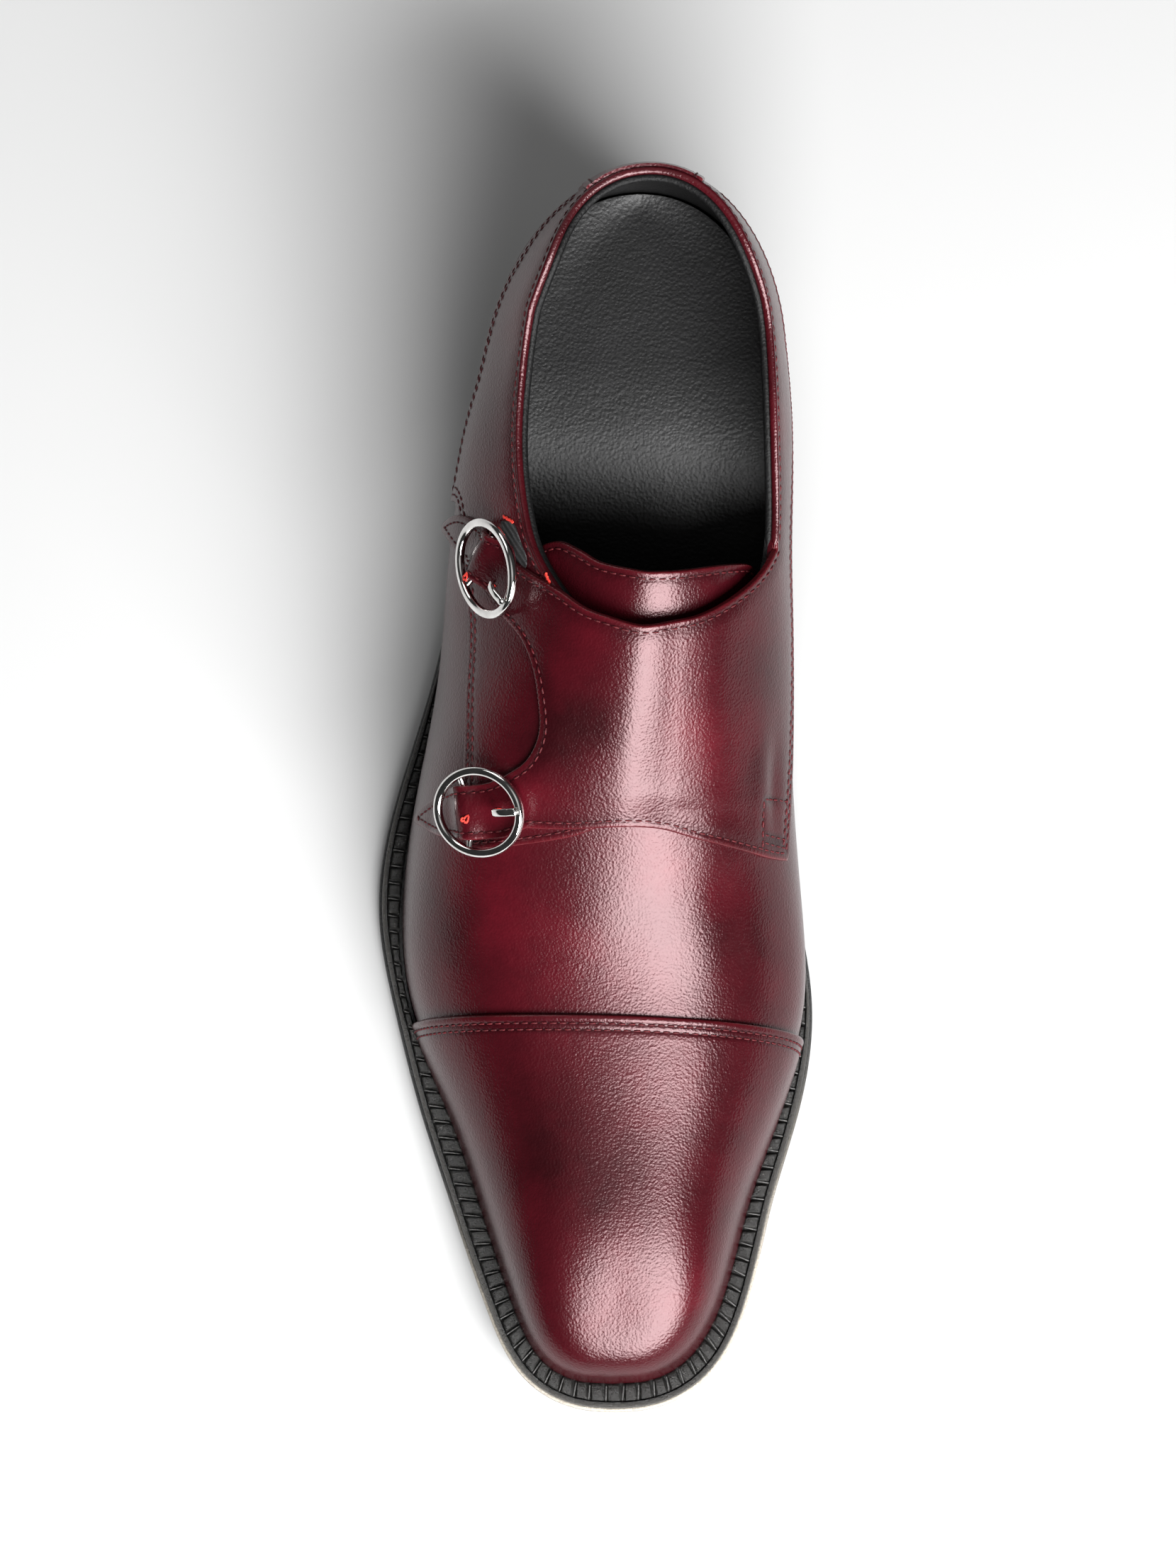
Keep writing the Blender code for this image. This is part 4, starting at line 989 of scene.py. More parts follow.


def bead(name, places, finish, lift, rise, half_lift, half_rise):
    """A rolled edge along places on the collar, from the lift and rise of its middle and its half sizes."""
    along, around = resample(places, BEAD["step"]).T
    count, corners = len(along), BEAD["corners"]
    solid, normal = skin(along, around, lift), skin_normal(along, around)
    up = np.cross(unit(np.gradient(solid, axis=0)), normal)
    up = unit(up * np.sign(up[:, 2:3] + 1e-9))
    share = np.arange(count) / (count - 1)
    slim = smooth(np.minimum(share, 1 - share) * count * BEAD["step"] / BEAD["taper"])
    slim = (BEAD["tip"] + (1 - BEAD["tip"]) * slim)[:, None, None]
    turn = turns(corners)[None, :, None]
    ring = normal[:, None] * np.cos(turn) * half_lift + up[:, None] * np.sin(turn) * half_rise
    sections = solid[:, None] + up[:, None] * rise + ring * slim
    # The roll's upper half is paled: a painted highlight.
    rubbed = np.clip(np.sin(turn[..., 0]), 0, 1) * np.ones((count, 1))
    tones = ROLL_TONE + np.repeat(tone(along, around), corners)
    sweep(name, sections, finish, marks=worn(tones, rubbed.ravel() * ROLL_HIGHLIGHT, np.zeros(rubbed.size)))


def make_collar():
    """The rolled burgundy edge and the black lining's edge behind it, from the lateral to the medial side."""
    lateral, medial = collar_line(ROLL_ENDS[0], BACK, -1), collar_line(BACK, ROLL_ENDS[1], 1)
    whole = np.vstack([lateral[:-1], medial])
    past = whole.copy()
    past[: len(lateral) - 1, 0] = 2 * BACK - lateral[:-1, 0]
    past[: len(lateral) - 1, 1] *= -1
    bead("collar_roll", past, CALF, lift=0.62, rise=0.05, half_lift=0.98, half_rise=0.62)
    bead("lining_roll", past, LINING, lift=-1.15, rise=-0.10, half_lift=0.90, half_rise=0.62)


CAP_SEAMS = (1.95, 3.5)
CAP_ROWS = (0, *NEAR_EDGE, ROUND, 0.9, 1.25)  # rows of points this far from its edge,
SEAM_ROWS = (-NEAR_SEAM, -0.2, 0, 0.2, NEAR_SEAM)  # and from each seam,
CAP_EVEN = (4.6, 3.2)  # and even ones from this far off the edge to this far off the tip
CAP_STRAIGHTEN = (40, 40)  # its rows lose their skew from here on, over this length
CAP_CLEAR = 0.1  # between its foot and the welt
CAP_FOLD = {"high": 0.18, "at": 0.9, "wide": 0.8}  # the leather is folded under along the cap's edge


def toe_cap_lift(along, around):
    """Lift of the cap's face, the distance from its edge, and the share of its grooves."""
    apart = along - (CAP_LINE["middle"] + CAP_LINE["skew"] * around)
    groove = sum(furrow(apart - seam) for seam in CAP_SEAMS)
    fold = CAP_FOLD["high"] * np.exp(-(((apart - CAP_FOLD["at"]) / CAP_FOLD["wide"]) ** 2))
    lift = LAP + PANEL + relief(along, around) + fold - edge_drop(apart) - GROOVE["deep"] * groove
    return lift, apart, groove


def make_toe_cap():
    """The cap, its folded edge and its two rows of stitches."""
    middle = CAP_LINE["middle"]
    seam_rows = (seam + np.array(SEAM_ROWS) for seam in CAP_SEAMS)
    even = np.arange(CAP_EVEN[0], TIP - middle - CAP_EVEN[1], STEP)
    apart = merged(np.round(merged(CAP_ROWS, *seam_rows, even, [TIP - middle]), 3))
    clear = sole_under(place(middle + apart, "reach")) + OUTSOLE + GAP + WELT + CAP_CLEAR
    skew = CAP_LINE["skew"] * (1 - smooth((apart[:, None] - CAP_STRAIGHTEN[0]) / CAP_STRAIGHTEN[1]))
    share, alongs, arounds = np.linspace(0, 1, 52), [], []
    for side in (-1, 1):
        foot = around_at(np.minimum(middle + apart, TIP), side, clear, LAP)[:, None]
        around = foot * (1 - share)
        alongs.append(np.minimum(middle + apart[:, None] + skew * around, TIP))
        arounds.append(around)
    alongs, arounds = np.array(alongs), np.array(arounds)
    alongs[:, -1] = TIP
    flat = alongs.ravel(), arounds.ravel()
    lift, far, groove = toe_cap_lift(*flat)
    # The cap's edge is paler, partly raw edge and partly painted highlight; its seam grooves are darkened as
    # painted shade.
    wrapped("toe_cap_leather", alongs, arounds, lift, LAP - SETTLE, CALF,
            worn(tone(*flat), pale_edge_and_highlight(far), groove), ("toe_cap",))
    for seam in CAP_SEAMS:
        around = np.linspace(*(float(around_at(middle, side, clear[0], LAP)) for side in (-1, 1)), 240)
        along = middle + seam + CAP_LINE["skew"] * around
        sew("cap_stitches", along, around, toe_cap_lift(along, around)[0])


STRIP = 0.85  # thickness of the back strip
STRIP_LIFT = {"low": 0.12, "rise": 1.38, "from": 0.50, "fade": 0.10}  # of its lower face, by around value
STRIP_ROWS = (0, *NEAR_EDGE, ROUND, 0.9, 1.3, 1.5, SEAM, 2.0, 2.4)  # lines of points this far from its sides,
STRIP_EVEN = 3.2  # and even ones between from this far on
STRIP_TONE = 0.12  # it is rubbed a little brighter than the counter


def strip_lift(around):
    """The back strip lies on the ends of the quarters, and lower down on the counter itself."""
    down = smooth((np.abs(around) - STRIP_LIFT["from"]) / STRIP_LIFT["fade"])
    return STRIP_LIFT["low"] + STRIP_LIFT["rise"] * (1 - down)


def make_back_strip():
    """The strip over the back seam, with a row of stitches along each side."""
    share = np.linspace(0, 1, 46)[:, None]
    half = BACK_STRIP["top"] + (BACK_STRIP["foot"] - BACK_STRIP["top"]) * share
    across, inner = np.array(STRIP_ROWS), np.linspace(-1, 1, 17)[1:-1]
    alongs = BACK + np.hstack([-half + across, (half - STRIP_EVEN) * inner, half - across[::-1]])
    mirrored = np.where(alongs < BACK, 2 * BACK - alongs, alongs)
    tops = np.where(alongs < BACK, -collar_around(mirrored, -1), collar_around(mirrored, 1))
    arounds = tops + (BACK_STRIP["end"] - tops) * share
    far = half - np.abs(alongs - BACK)
    groove, base = furrow(far - SEAM), strip_lift(arounds)
    lift = base + STRIP - edge_drop(far) - GROOVE["deep"] * groove
    tones = STRIP_TONE + tone(np.abs(alongs - BACK) + BACK, arounds)
    # The strip's edges are paler, partly raw edge and partly painted highlight; its seam grooves are darkened
    # as painted shade.
    wrapped("back_strip_leather", alongs[None], arounds[None], lift, base, CALF,
            worn(tones, pale_edge_and_highlight(far), groove), ("back_strip",))
    for side in (-1, 1):
        along = BACK + side * (half[:, 0] - SEAM)
        around = arounds[:, len(across) - 1 if side < 0 else -len(across)]
        sew("back_stitches", along, around, strip_lift(around) + STRIP - GROOVE["deep"])


def level(low, high):
    """Lifts of a panel that lies evenly on the last."""
    return lambda along, _: (np.full(len(along), low), np.full(len(along), high))


def strap_lifts(along, around):
    """The flap's lifts, with its lower face settled onto the leather under it."""
    low, high = flap_lifts(along, around)
    return low - SETTLE, high


BEHIND = 9.0  # the quarters end at this along value, under the back strip
BEHIND_FOOT = 0.49  # and at this around value lowest down
FLAP_HIDDEN = 118.0  # the lateral quarter's collar goes on under the flap to here
FLAP_BACK = 96.0  # and the medial one ends here, at the flap
GUSSET_LIFTS = (LAP + PANEL + 0.02, LAP + PANEL + 0.34)
DOUBLE, SINGLE = (SEAM, SECOND_SEAM), (SEAM,)


def make_panels():
    """The quarters with the flap and straps, the tongue, and the elastic under the upper strap."""

    def heel_end(side):
        return np.array([collar_line(BEHIND, BEHIND + 1, side, 2)[0], (BEHIND, side * BEHIND_FOOT)])

    panel("lateral_quarter_leather", (
        (collar_line(FLAP_HIDDEN, BEHIND, -1), SINGLE),
        (heel_end(-1), ()),
        (np.array([(BEHIND, -BEHIND_FOOT), LATERAL_EDGE[0]]), ()),
        (curve(LATERAL_EDGE), DOUBLE),
        (curve(LATERAL_FACING), DOUBLE),
        (curve(LATERAL_FRONT), SINGLE),
        (curve(HIDDEN_FRONT), ()),
    ), level(LAP - SETTLE, LAP + PANEL), CALF, "quarter_stitches", ("lateral_quarter",))
    panel("medial_quarter_and_straps", (
        (collar_line(BEHIND, FLAP_BACK, 1), SINGLE),
        (curve(FLAP_TOP), SINGLE),
        (curve(UPPER_STRAP), SINGLE),
        (curve(BAY), SINGLE),
        (curve(LOWER_STRAP), SINGLE),
        (curve(FLAP_FRONT), SINGLE),
        (curve(MEDIAL_EDGE), DOUBLE),
        (np.array([MEDIAL_EDGE[-1], (BEHIND, BEHIND_FOOT)]), ()),
        (heel_end(1)[::-1], ()),
    ), strap_lifts, CALF, "flap_stitches", ("medial_quarter_with_straps",), rows=BARTACK)
    panel("tongue_leather", (
        (curve(TONGUE_TOP), SINGLE),
        (np.array([*TONGUE_FOOT]), ()),
    ), level(*TONGUE), CALF, "tongue_stitches", ("tongue",), reliefs=False)
    panel("elastic_gusset", (
        (curve([*GUSSET, GUSSET[0]], 4), ()),
    ), level(*GUSSET_LIFTS), ELASTIC, round_off=0.2, fill=1.0, reliefs=False)


CUT_THICK = (0.34, 0.5)  # radii of the raw rims and cuts
CUT_RISE = (0.08, LAP + PANEL + 0.15)  # how far a rim stands over the strap, and the lift of a cut
HOLE = 0.62  # radius of a hole, before its ragged swings


def raw_fibres(name, parts):
    """Raw fibres along short lines: each part is (points, normals, radius)."""
    points, faces, first, corners = [], [], 0, 8
    for k, (route, normals, radius) in enumerate(parts):
        side = np.cross(normals, unit(np.gradient(route, axis=0)))
        turn = turns(corners)
        i = np.arange(len(route))[:, None]
        fat = radius * (0.8 + 0.28 * np.sin(i * 2.3 + turn * 2 + k) + 0.15 * np.sin(i * 5.1 + turn * 3))
        wide, high = (np.cos(turn) * fat)[..., None], (np.sin(turn) * fat * 0.55)[..., None]
        points.append((route[:, None] + side[:, None] * wide + normals[:, None] * high).reshape(-1, 3))
        faces += tube_faces(len(route), corners, first)
        first += len(route) * corners
    piece(name, np.vstack(points), faces, RAW, sharp=80)


def make_cuts():
    """The raw red rims of the buckle holes and of the cut at the elastic."""
    parts = []
    for places in HOLES.values():
        for n, (along, around) in enumerate(places):
            turn = np.linspace(0, 2 * math.pi, 15)
            wide = HOLE + 0.22 * np.sin(turn * 3 + n * 2) + 0.12 * np.sin(turn * 5)
            route = along + np.cos(turn) * wide, around + np.sin(turn) * wide / GIRTH
            lift = flap_lifts(*route)[1] + CUT_RISE[0]
            parts.append((skin(*route, lift), skin_normal(*route), CUT_THICK[0]))
    raw_fibres("hole_rims", parts)
    parts = []
    for places in RED_CUTS:
        along, around = resample(curve(places), 0.4).T
        parts.append((skin(along, around, CUT_RISE[1]), skin_normal(along, around), CUT_THICK[1]))
    raw_fibres("red_cuts", parts)


# ---- the bottom ----------------------------------------------------------------------------------


def sole_edge(walk, side, inset):
    """The outsole's outline on one side, moved in by inset."""
    tangent = unit(sole_outline(walk + 0.05, side) - sole_outline(walk - 0.05, side))
    return sole_outline(walk, side) - side * inset * np.stack([-tangent[:, 1], tangent[:, 0]], -1)


def sole_walk(start=BACK, stop=TIP):
    """Stations close together where the outline turns."""
    heel = BACK + (HEEL_END["centre"] - BACK) * (1 - np.cos(np.linspace(0, math.pi / 2, 30)))
    toe = TIP - (TIP - TOE_END["centre"]) * (1 - np.cos(np.linspace(math.pi / 2, 0, 34)))
    waist = np.arange(HEEL_END["centre"], TOE_END["centre"], 2.0)
    walk = merged(np.round(merged(heel, waist, toe), 4))
    return merged(walk[(walk >= start) & (walk <= stop)], [start, stop])


SOLE_EDGE = (  # inset, 0 over the lower face or 1 over the upper one, how far over it
    (9, 0, 0), (1.6, 0, 0), (0.7, 0, 0.1), (0.2, 0, 0.4), (0, 0, 0.9), (0, 0, 1.8), (0.1, 0, 2.1),
    (0, 0, 2.4), (0, 1, -1.0), (0.12, 1, -0.4), (0.4, 1, -0.1), (0.95, 1, 0), (9, 1, 0),
)


# Scuffs of the outsole's edge: from this along value, over this length, this much. The second only on the
# medial side, beyond this x.
TOE_SCUFFS, MEDIAL_SCUFFS, MEDIAL_X = (238, 50, 1.0), (200, 60, 0.45), 20
EDGE_SCUFFS = (0.25, 0.75)  # of the lower half of the edge, and how much more of the upper half


def scuffed(at, scuffs):
    """How worn the edge is at an along value."""
    start, long, most = scuffs
    return most * smooth((at - start) / long)


def make_outsole():
    """The leather outsole, its worn edge rounded top and bottom."""
    walk = sole_walk()
    rows = []
    for side, order in ((-1, SOLE_EDGE), (1, SOLE_EDGE[::-1])):
        for inset, on_top, up in order:
            flat = sole_edge(walk, side, inset)
            z = sole_under(LENGTH / 2 - flat[:, 1]) + on_top * OUTSOLE + up
            scuffs = (inset < 0.5) * (EDGE_SCUFFS[0] + EDGE_SCUFFS[1] * on_top) * np.ones(len(walk))
            rows.append((np.column_stack([flat, z]), scuffs))
    points = np.stack([row for row, _ in rows], 1)
    at = LENGTH / 2 - points[..., 1]
    strength = scuffed(at, TOE_SCUFFS) + scuffed(at, MEDIAL_SCUFFS) * (points[..., 0] > MEDIAL_X)
    scuffs = np.stack([share for _, share in rows], 1) * np.clip(strength, 0, 1)
    sweep("outsole_leather", points, WAXED, ("outsole",), {"worn": scuffs}, ends=False)


def stacked(name, levels, finish, stands_for, scuffs):
    """A heel layer from level rings: each level is (inset, height at each station)."""
    walk = sole_walk(BACK, BREAST)
    rings = []
    for inset, height in levels:
        sides = []
        for side in (-1, 1):
            flat = sole_edge(walk, side, inset)
            sides.append(np.column_stack([flat, height(LENGTH / 2 - flat[:, 1])]))
        a, b = sides[0][-1], sides[1][-1]
        t = np.linspace(0, 1, 13)[1:-1, None]
        front = a * (1 - t) + b * t
        front[:, 1] += BREAST_BULGE * np.sin(t[:, 0] * math.pi) - inset * 0.5
        front[:, 2] = height(LENGTH / 2 - front[:, 1])
        rings.append(np.vstack([sides[0], front, sides[1][::-1]]))
    rings = np.array(rings)
    rows, cols, _ = rings.shape
    faces = grid_faces(rows, cols, closed=True)
    for row in (0, rows - 1):
        for j in range(cols // 2):
            first, last = row * cols + j, row * cols + cols - 1 - j
            if last - first > 1:
                faces.append(tuple(dict.fromkeys((first, first + 1, last - 1, last))))
    piece(name, rings, faces, finish, (stands_for,), {"worn": np.full(rows * cols, scuffs)}, sharp=35)


HEEL_LAYERS = 24 / 4.6  # in the stack: its height over the thickness of one
# Insets of the stack's foot and of its sides, the height of its foot's bevel, the depth of the groove
# between two layers, and where in a layer it starts.
STACK = {"foot": 0.9, "side": 0.6, "bevel": 0.3, "groove": 0.22, "from": 0.80, "fade": 0.15}
TOP_LIFT_EDGE = (  # inset, height
    (1.8, 0.0), (1.25, 0.15), (1.05, 0.6), (1.0, 1.5), (1.0, 2.9), (1.12, 3.1), (1.0, 3.3), (1.0, 5.4),
    (1.1, 5.8), (1.5, TOP_LIFT),
)
BREAST_BULGE = 1.6  # of the heel's front face


def make_heel():
    """The heel stack with a fine groove between its layers, and the top lift under it."""
    bottom, bevel = TOP_LIFT + GAP, STACK["bevel"]
    levels = [(STACK["foot"], lambda at: bottom + 0 * at)]
    for t in np.linspace(0, 1, 40):
        height = lambda at, t=t: bottom + bevel + t * (sole_under(at) - GAP - TOP_LIFT - GAP - bevel)
        seam = abs(((t * HEEL_LAYERS) % 1) - 0.5) * 2
        groove = float(smooth((seam - STACK["from"]) / STACK["fade"]))
        levels.append((STACK["side"] + STACK["groove"] * groove, height))
    stacked("heel_stack_leather", levels, WAXED, "heel_stack", scuffs=0.12)
    levels = [(inset, lambda at, z=z: z + 0 * at) for inset, z in TOP_LIFT_EDGE]
    stacked("top_lift_rubber", levels, RUBBER, "heel_top_lift", scuffs=0.1)


WELT_STEP = 0.36  # between its rows of points


def welt_lines():
    """Rim, knee and foot of the welt at fine even steps of its rim, from breast to breast."""
    walk = merged(np.linspace(WELT_END, TOE_END["centre"], 100),
                  TOE_END["centre"] + np.linspace(0, TIP - TOE_END["centre"], 60))
    halves = []
    for side in (-1, 1):
        foot = skin(walk, np.full(len(walk), float(side)), GAP)
        knee = skin(walk, around_at(walk, side, foot[:, 2] + WELT, GAP), GAP)
        out = sole_outline(walk, side) - foot[:, :2]
        width = np.linalg.norm(out, axis=1, keepdims=True)
        out /= width
        lean = ((knee[:, :2] - foot[:, :2]) * out).sum(1, keepdims=True)
        rim = foot[:, :2] + out * np.maximum(width - EDGE, lean + LEAST_WELT)
        halves.append(np.hstack([rim, knee[:, :2], foot[:, :2]]))
    whole = np.vstack([halves[0], halves[1][-2::-1]])
    run = run_along(whole[:, :2])
    at = np.linspace(0, run[-1], int(run[-1] / WELT_STEP))
    return at, np.stack([np.interp(at, run, whole[:, k]) for k in range(6)], 1)


BLOCK = {"pitch": 4.1, "high": 0.55, "deep": 0.85, "inner": 0.9, "flange": 1.5}
BLOCK_ENDS = (0.07, 0.15)  # a block starts this share of the pitch off the notch, and is full this much later
FLANGE_PROFILE = ((0.5, 0.05), (0.12, -0.08), (0.0, -0.45))  # distance from the rim, height
BLOCK_PROFILE = (  # share of the way across the blocks, share of their height
    (0.0, 0.0), (0.05, 0.55), (0.2, 0.92), (0.5, 1.0), (0.8, 0.92), (0.95, 0.55), (1.0, 0.0),
)
# Where the welt is narrow: the most that the gap inside the blocks and the flange take of its width, the
# width of the blocks that gives them their full height, the least share of it, and the least to be stitched.
NARROW = {"inner": 0.2, "flange": 0.36, "full": 1.6, "least": 0.15, "stitched": 1.0}
WELT_SCUFFS = ((slice(3, 8), 0.012), (slice(10, 14), 0.05))  # columns of its points: the blocks, the flange
WELT_STITCH = ((0.1, -0.30), (0.6, -0.18), (1.05, 0.02))  # share of the way across the blocks, height


def make_welt():
    """The welt: wheeled blocks against the upper, a smooth flange outside them."""
    run, lines = welt_lines()
    rim, knee, foot = lines[:, :2], lines[:, 2:4], lines[:, 4:]
    out = rim - knee
    width = np.linalg.norm(out, axis=1)
    out /= width[:, None]
    start = np.minimum(BLOCK["inner"], NARROW["inner"] * width)
    stop = width - np.minimum(BLOCK["flange"], NARROW["flange"] * width)
    band = stop - start
    share = (run / BLOCK["pitch"]) % 1
    block = smooth((0.5 - np.abs(share - 0.5) - BLOCK_ENDS[0]) / BLOCK_ENDS[1])
    block = block * np.clip(band / NARROW["full"], NARROW["least"], 1)
    floor = -BLOCK["deep"]
    table = [(0 * width, -0.2 + 0 * width), (start * 0.9, -0.12 + 0 * width)]
    for part, high in BLOCK_PROFILE:
        table.append((start + band * part, floor + block * high * (BLOCK["high"] + BLOCK["deep"])))
    table += [(stop + 0.25, 0.0), *((width - inset, up) for inset, up in FLANGE_PROFILE)]
    rows = []
    for distance, up in table:
        flat = knee + out * np.broadcast_to(distance, width.shape)[:, None]
        rows.append((flat, WELT + up))
    rows += [(rim, 0.25), (rim - out * 0.25, 0.0), (foot, 0.0), (foot, 1.4)]
    points, base = [], OUTSOLE + GAP
    for flat, up in rows:
        points.append(np.column_stack([flat, sole_under(LENGTH / 2 - flat[:, 1]) + base + up]))
    points = np.stack(points, 1)
    scuffs = np.zeros(points.shape[:2])
    for columns, amount in WELT_SCUFFS:
        scuffs[:, columns] = amount
    sweep("storm_welt", points, WAXED, ("welt",), {"worn": scuffs})
    centre = np.arange(1, int(run[-1] / BLOCK["pitch"])) * BLOCK["pitch"]
    index = np.searchsorted(run, centre)
    t, high = np.array(WELT_STITCH).T
    t = t[:, None]
    for i in index[band[index] > NARROW["stitched"]]:
        ahead = np.array([out[i, 1], -out[i, 0]])
        flat = knee[i] + out[i] * (start[i] + band[i] * t) + ahead * (t - 0.5) * 0.6
        z = sole_under(LENGTH / 2 - flat[:, 1]) + base + WELT + high
        size = {"pitch": band[i] * 0.9, "long": band[i] * 0.86, "thread": 0.21, "sink": 0.1}
        add_stitches("welt_stitches", np.column_stack([flat, z]), np.tile([0.0, 0.0, 1.0], (3, 1)), size)


DISH = {"deep": 1.5, "wide": 16.0}  # hollow of the footbed, and how far in it is fully deep
SOCK_RAMP = (150, 105)  # the hidden lift starts at this along value, and is full this much nearer the heel
SOCK_FOOT, SOCK_ROLL = 0.8, 0.5  # its walls start this far up, and its upper edge is rolled down by this
SOCK_ROWS = (0.012, 0.03, 0.07, *np.linspace(0.13, 0.87, 15), 0.93, 0.97, 0.988)  # shares across its top


def make_sock():
    """The raised footbed: dished a little, its edges rolled down beside the lining."""
    walk = merged(sole_walk(), np.arange(HEEL_END["centre"], 120, 1.5))
    clear = UPPER_WALL + INSOLE_GAP
    sides = {}
    for side in (-1, 1):
        at = place(walk, "reach")
        floor = sole_under(at) + OUTSOLE + INSOLE_GAP
        rise = INNER_HEEL - HEEL_HEIGHT - OUTSOLE - INSOLE_FRONT - INSOLE_GAP
        top = floor + INSOLE_FRONT + rise * smooth((SOCK_RAMP[0] - at) / SOCK_RAMP[1])
        walls = []
        for t in np.linspace(0, 1, 6):
            height = floor + SOCK_FOOT + (top - floor - SOCK_FOOT) * t
            wall = skin(walk, around_at(walk, side, height, -clear), -clear)
            wall[:, 2] = height
            walls.append(wall)
        foot = walls[0].copy()
        foot[:, 2] = floor
        sides[side] = [foot, *walls]
    middle = (sides[-1][-1] + sides[1][-1])[:, 0] / 2
    for side in (-1, 1):
        for wall in sides[side]:
            crossed = ((wall[:, 0] - middle) * side < 0) | (walk == BACK) | (walk == TIP)
            wall[crossed, 0] = middle[crossed]
    a, b = sides[1][-1], sides[-1][-1]
    half = np.abs(a[:, 0] - b[:, 0]) / 2
    top = []
    for t in SOCK_ROWS:
        row = a * (1 - t) + b * t
        edge = np.minimum(t, 1 - t) * 2 * half
        row[:, 2] -= DISH["deep"] * smooth(edge / DISH["wide"])
        top.append(row)
    for side in (-1, 1):
        sides[side][-1][:, 2] -= SOCK_ROLL
    points = np.stack([*sides[1], *top, *sides[-1][::-1]], 1)
    sweep("sock_and_footbed", points, SOCK, ("insole",), ends=False)


# ---- the buckles ---------------------------------------------------------------------------------


def rounded(count, half_wide, half_high, power):
    """A rounded rectangle's outline."""
    turn = turns(count)
    sides = (np.cos(turn), half_wide), (np.sin(turn), half_high)
    return [np.sign(c) * np.abs(c) ** (2 / power) * half for c, half in sides]


RING = {"rows": 160, "corners": 24, "flat": 0.94, "power": 2.5}  # its wire is a rounded square, a little flat
BAR = {"rows": 15, "corners": 14, "power": 2.0, "bend": 4}  # bend is the power of its drop in the middle
PRONG = {"count": 16, "half_wide": 0.95, "half_high": 0.62, "power": 3.0}
# The prong is this much slimmer at its root and at its tip, over this many rows.
PRONG_SLIM = {"root": (0.18, 8), "tip": (0.45, 3)}
PRONG_ROUTE = (  # from the middle of the ring's far wire: back towards the bar, and up
    (7.6, 0.2), (7.0, 1.1), (6.2, 1.75), (4.6, 2.2), (2.8, 2.25), (1.2, 2.0), (0.1, 1.92), (-0.55, 1.72),
)


def make_buckle(which):
    """One buckle: its ring, the bar across it and the prong."""
    centre, ahead, normal = strap_frame(which)
    across = np.cross(normal, ahead)
    half_wire = BUCKLE["wire"] / 2
    a, b = BUCKLE["long"] / 2 - half_wire, BUCKLE["wide"] / 2 - half_wire
    turn = turns(RING["rows"])[:, None]
    out = unit(np.stack([np.cos(turn) * b, np.sin(turn) * a], -1))
    u, w = rounded(RING["corners"], half_wire, half_wire * RING["flat"], RING["power"])
    x, y = np.cos(turn) * a + out[..., 0] * u, np.sin(turn) * b + out[..., 1] * u
    ring = centre + ahead * x[..., None] + across * y[..., None] + normal * (w * np.ones_like(x))[..., None]
    sweep(f"{which}_ring", ring, NICKEL, (f"{which}_buckle",), ring=True)
    share = BUCKLE["bar_ahead"] / a
    reach = b * math.sqrt(1 - share**2)
    u, w = rounded(BAR["corners"], BUCKLE["bar"] / 2, BUCKLE["bar"] / 2, BAR["power"])
    bar = []
    for t in np.linspace(-1, 1, BAR["rows"]):
        bend = -BUCKLE["bar_drop"] * (1 - abs(t) ** BAR["bend"])
        middle = centre + ahead * BUCKLE["bar_ahead"] + across * t * reach + normal * bend
        bar.append(middle + ahead * u[:, None] + normal * w[:, None])
    sweep(f"{which}_bar", bar, NICKEL)
    route = np.array(PRONG_ROUTE) - (a, 0)
    route = np.array(through(route, 4) + [route[-1]])
    heading = unit(np.gradient(route, axis=0))
    u, w = rounded(**PRONG)
    (root, root_rows), (tip, tip_rows) = PRONG_SLIM["root"], PRONG_SLIM["tip"]
    prong = []
    for i, ((x, z), (hx, hz)) in enumerate(zip(route, heading)):
        slim = 1 - root + root * smooth(i / root_rows)
        slim *= 1 - tip * smooth((i - len(route) + 1 + tip_rows) / tip_rows)
        up = ahead * hz - normal * hx
        up = up if up @ normal > 0 else -up
        prong.append(centre + ahead * x + normal * z + across * u[:, None] * slim + up * w[:, None] * slim)
    sweep(f"{which}_prong_bar", prong, NICKEL, (f"{which}_prong",))


# ---- the studio ----------------------------------------------------------------------------------


def placed(name, data, place=(0, 0, 0), aim=None):
    """A new object in the scene, its -Z axis turned towards aim."""
    made = bpy.data.objects.new(name, data)
    made.location = place
    if aim:
        made.rotation_euler = (Vector(aim) - Vector(place)).to_track_quat("-Z", "Y").to_euler()
    bpy.context.scene.collection.objects.link(made)
    return made


FLOOR = {"half": 3.0, "under": 0.0004}  # metres; it lies just under the shoe, clear of its lowest face


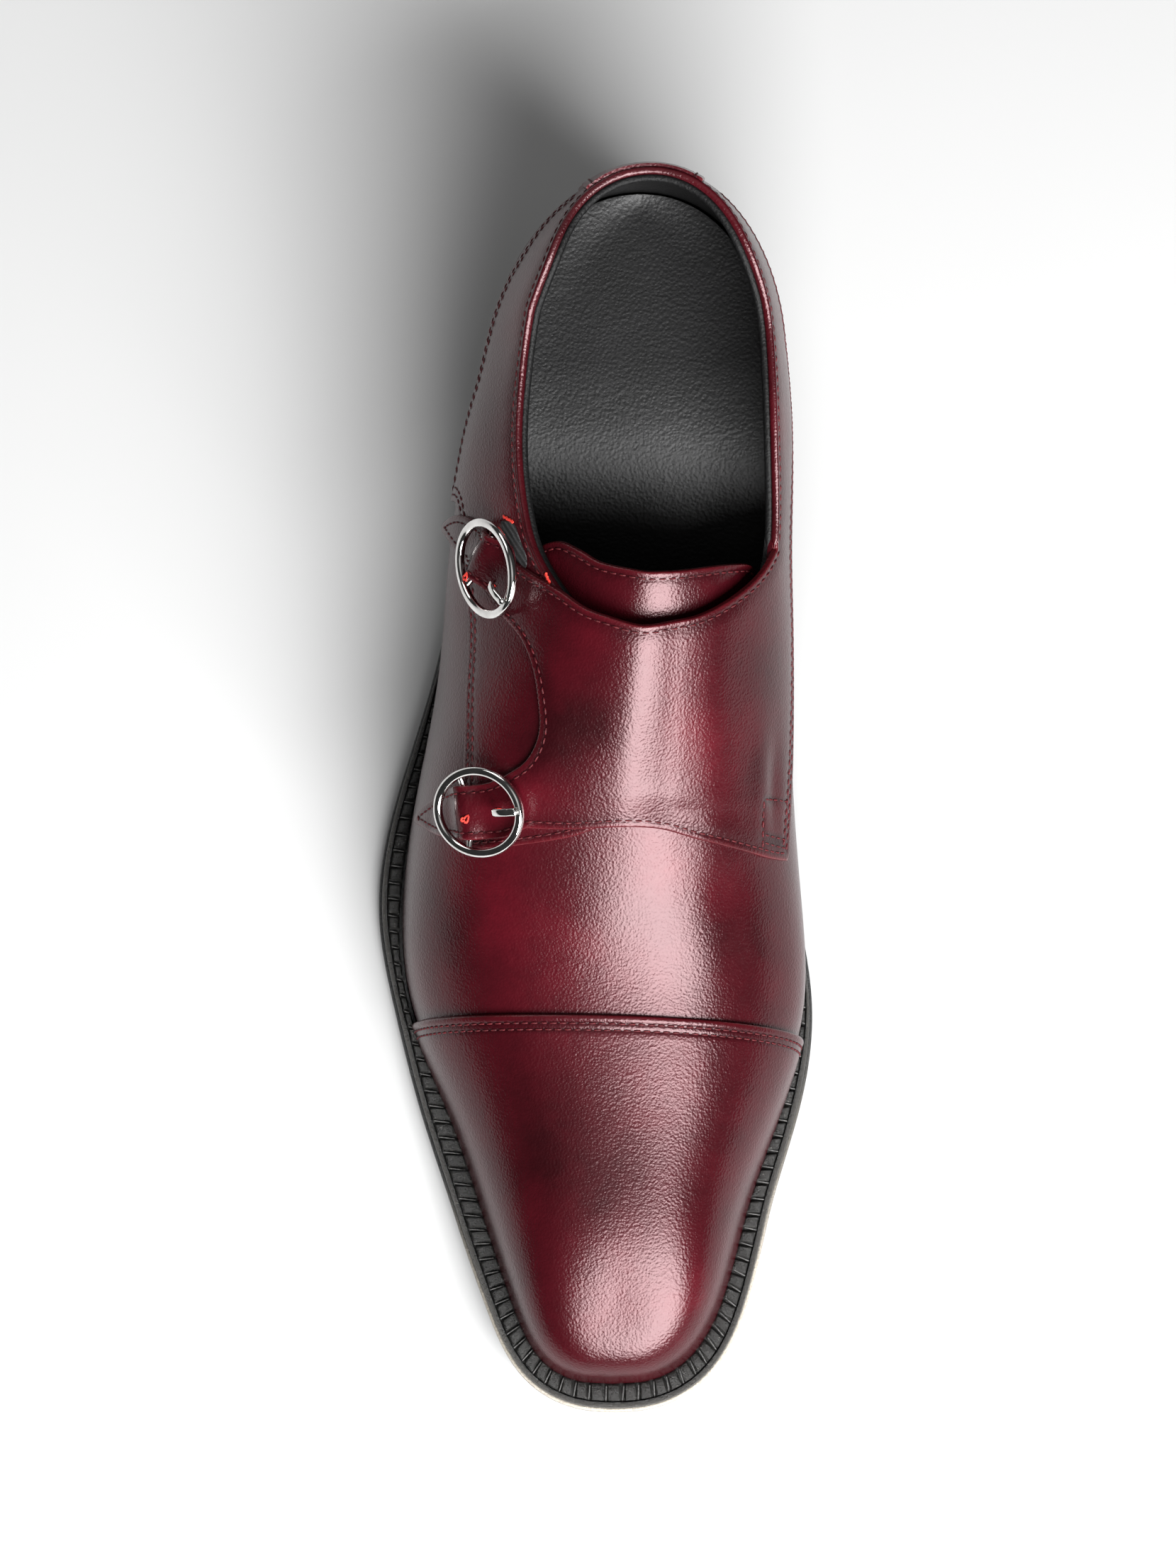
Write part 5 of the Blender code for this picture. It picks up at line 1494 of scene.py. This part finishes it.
def make_floor():
    mesh = bpy.data.meshes.new("studio_floor")
    corners = ((-1, -1), (1, -1), (1, 1), (-1, 1))
    corners = [(x * FLOOR["half"], y * FLOOR["half"], -FLOOR["under"]) for x, y in corners]
    mesh.from_pydata(corners, [], [(0, 1, 2, 3)])
    f = Finish("studio_paper")
    tint = f.ramp(f.noise(6, 2, 0.5), ((0.0, grey(0.34)), (1.0, grey(0.355))))
    mesh.materials.append(f.done(Base_Color=tint, Roughness=0.9))
    floor = placed("studio_floor", mesh)


OVERHEAD = ((0.0, 0.03), (0.82, 0.05), (0.93, 0.42), (1.0, 0.75))  # height in the sky, brightness


def make_world():
    """A dark studio, paler straight overhead."""
    world = bpy.data.worlds.new("studio")
    bpy.context.scene.world = world
    world.use_nodes = True
    tree = world.node_tree
    place = add_node(tree, "ShaderNodeTexCoord").outputs["Generated"]
    height = add_node(tree, "ShaderNodeSeparateXYZ", {0: place}).outputs["Z"]
    ramp = add_node(tree, "ShaderNodeValToRGB", {"Fac": height})
    set_stops(ramp.color_ramp, [(position, grey(value)) for position, value in OVERHEAD])
    fill(tree, tree.nodes["Background"], {"Color": ramp.outputs["Color"], "Strength": 1.0})


SOFTBOXES = (  # place, what it points at, size, watts
    ("key_box", (0.38, -0.82, 0.85), (0.0, -0.02, 0.05), (0.98, 0.84), 76.0),
    ("heel_box", (-0.60, 0.95, 0.75), (-0.1, 0.0, 0.0), (0.8, 0.6), 4.0),
)


def softbox(name, place, aim, size, power):
    light = bpy.data.lights.new(name, "AREA")
    light.shape = "RECTANGLE"
    light.size, light.size_y = size
    light.energy = power
    placed(name, light, place, aim)


EYE, TARGET = (-1.8, -211.1, 1469.1), (-1.8, 3.2, 35.0)  # of the camera, fitted to the photo
SENSOR, LENS = 36.0, 135.0


def make_camera():
    """A long lens over the toe, at the photo's angle."""
    camera = bpy.data.cameras.new("camera")
    camera.sensor_fit = "VERTICAL"
    camera.sensor_height, camera.lens = SENSOR, LENS
    target, eye = Vector(TARGET) * MM, Vector(EYE) * MM
    bpy.context.scene.camera = placed("camera", camera, eye, target)


make_camera()
make_outsole()
make_heel()
make_welt()
make_sock()
make_body()
make_panels()
make_toe_cap()
make_back_strip()
make_collar()
make_cuts()
for which in STRAP_AXES:
    make_buckle(which)
finish_stitches()
make_floor()
make_world()
for box in SOFTBOXES:
    softbox(*box)
bpy.context.scene.view_settings.view_transform = "Standard"
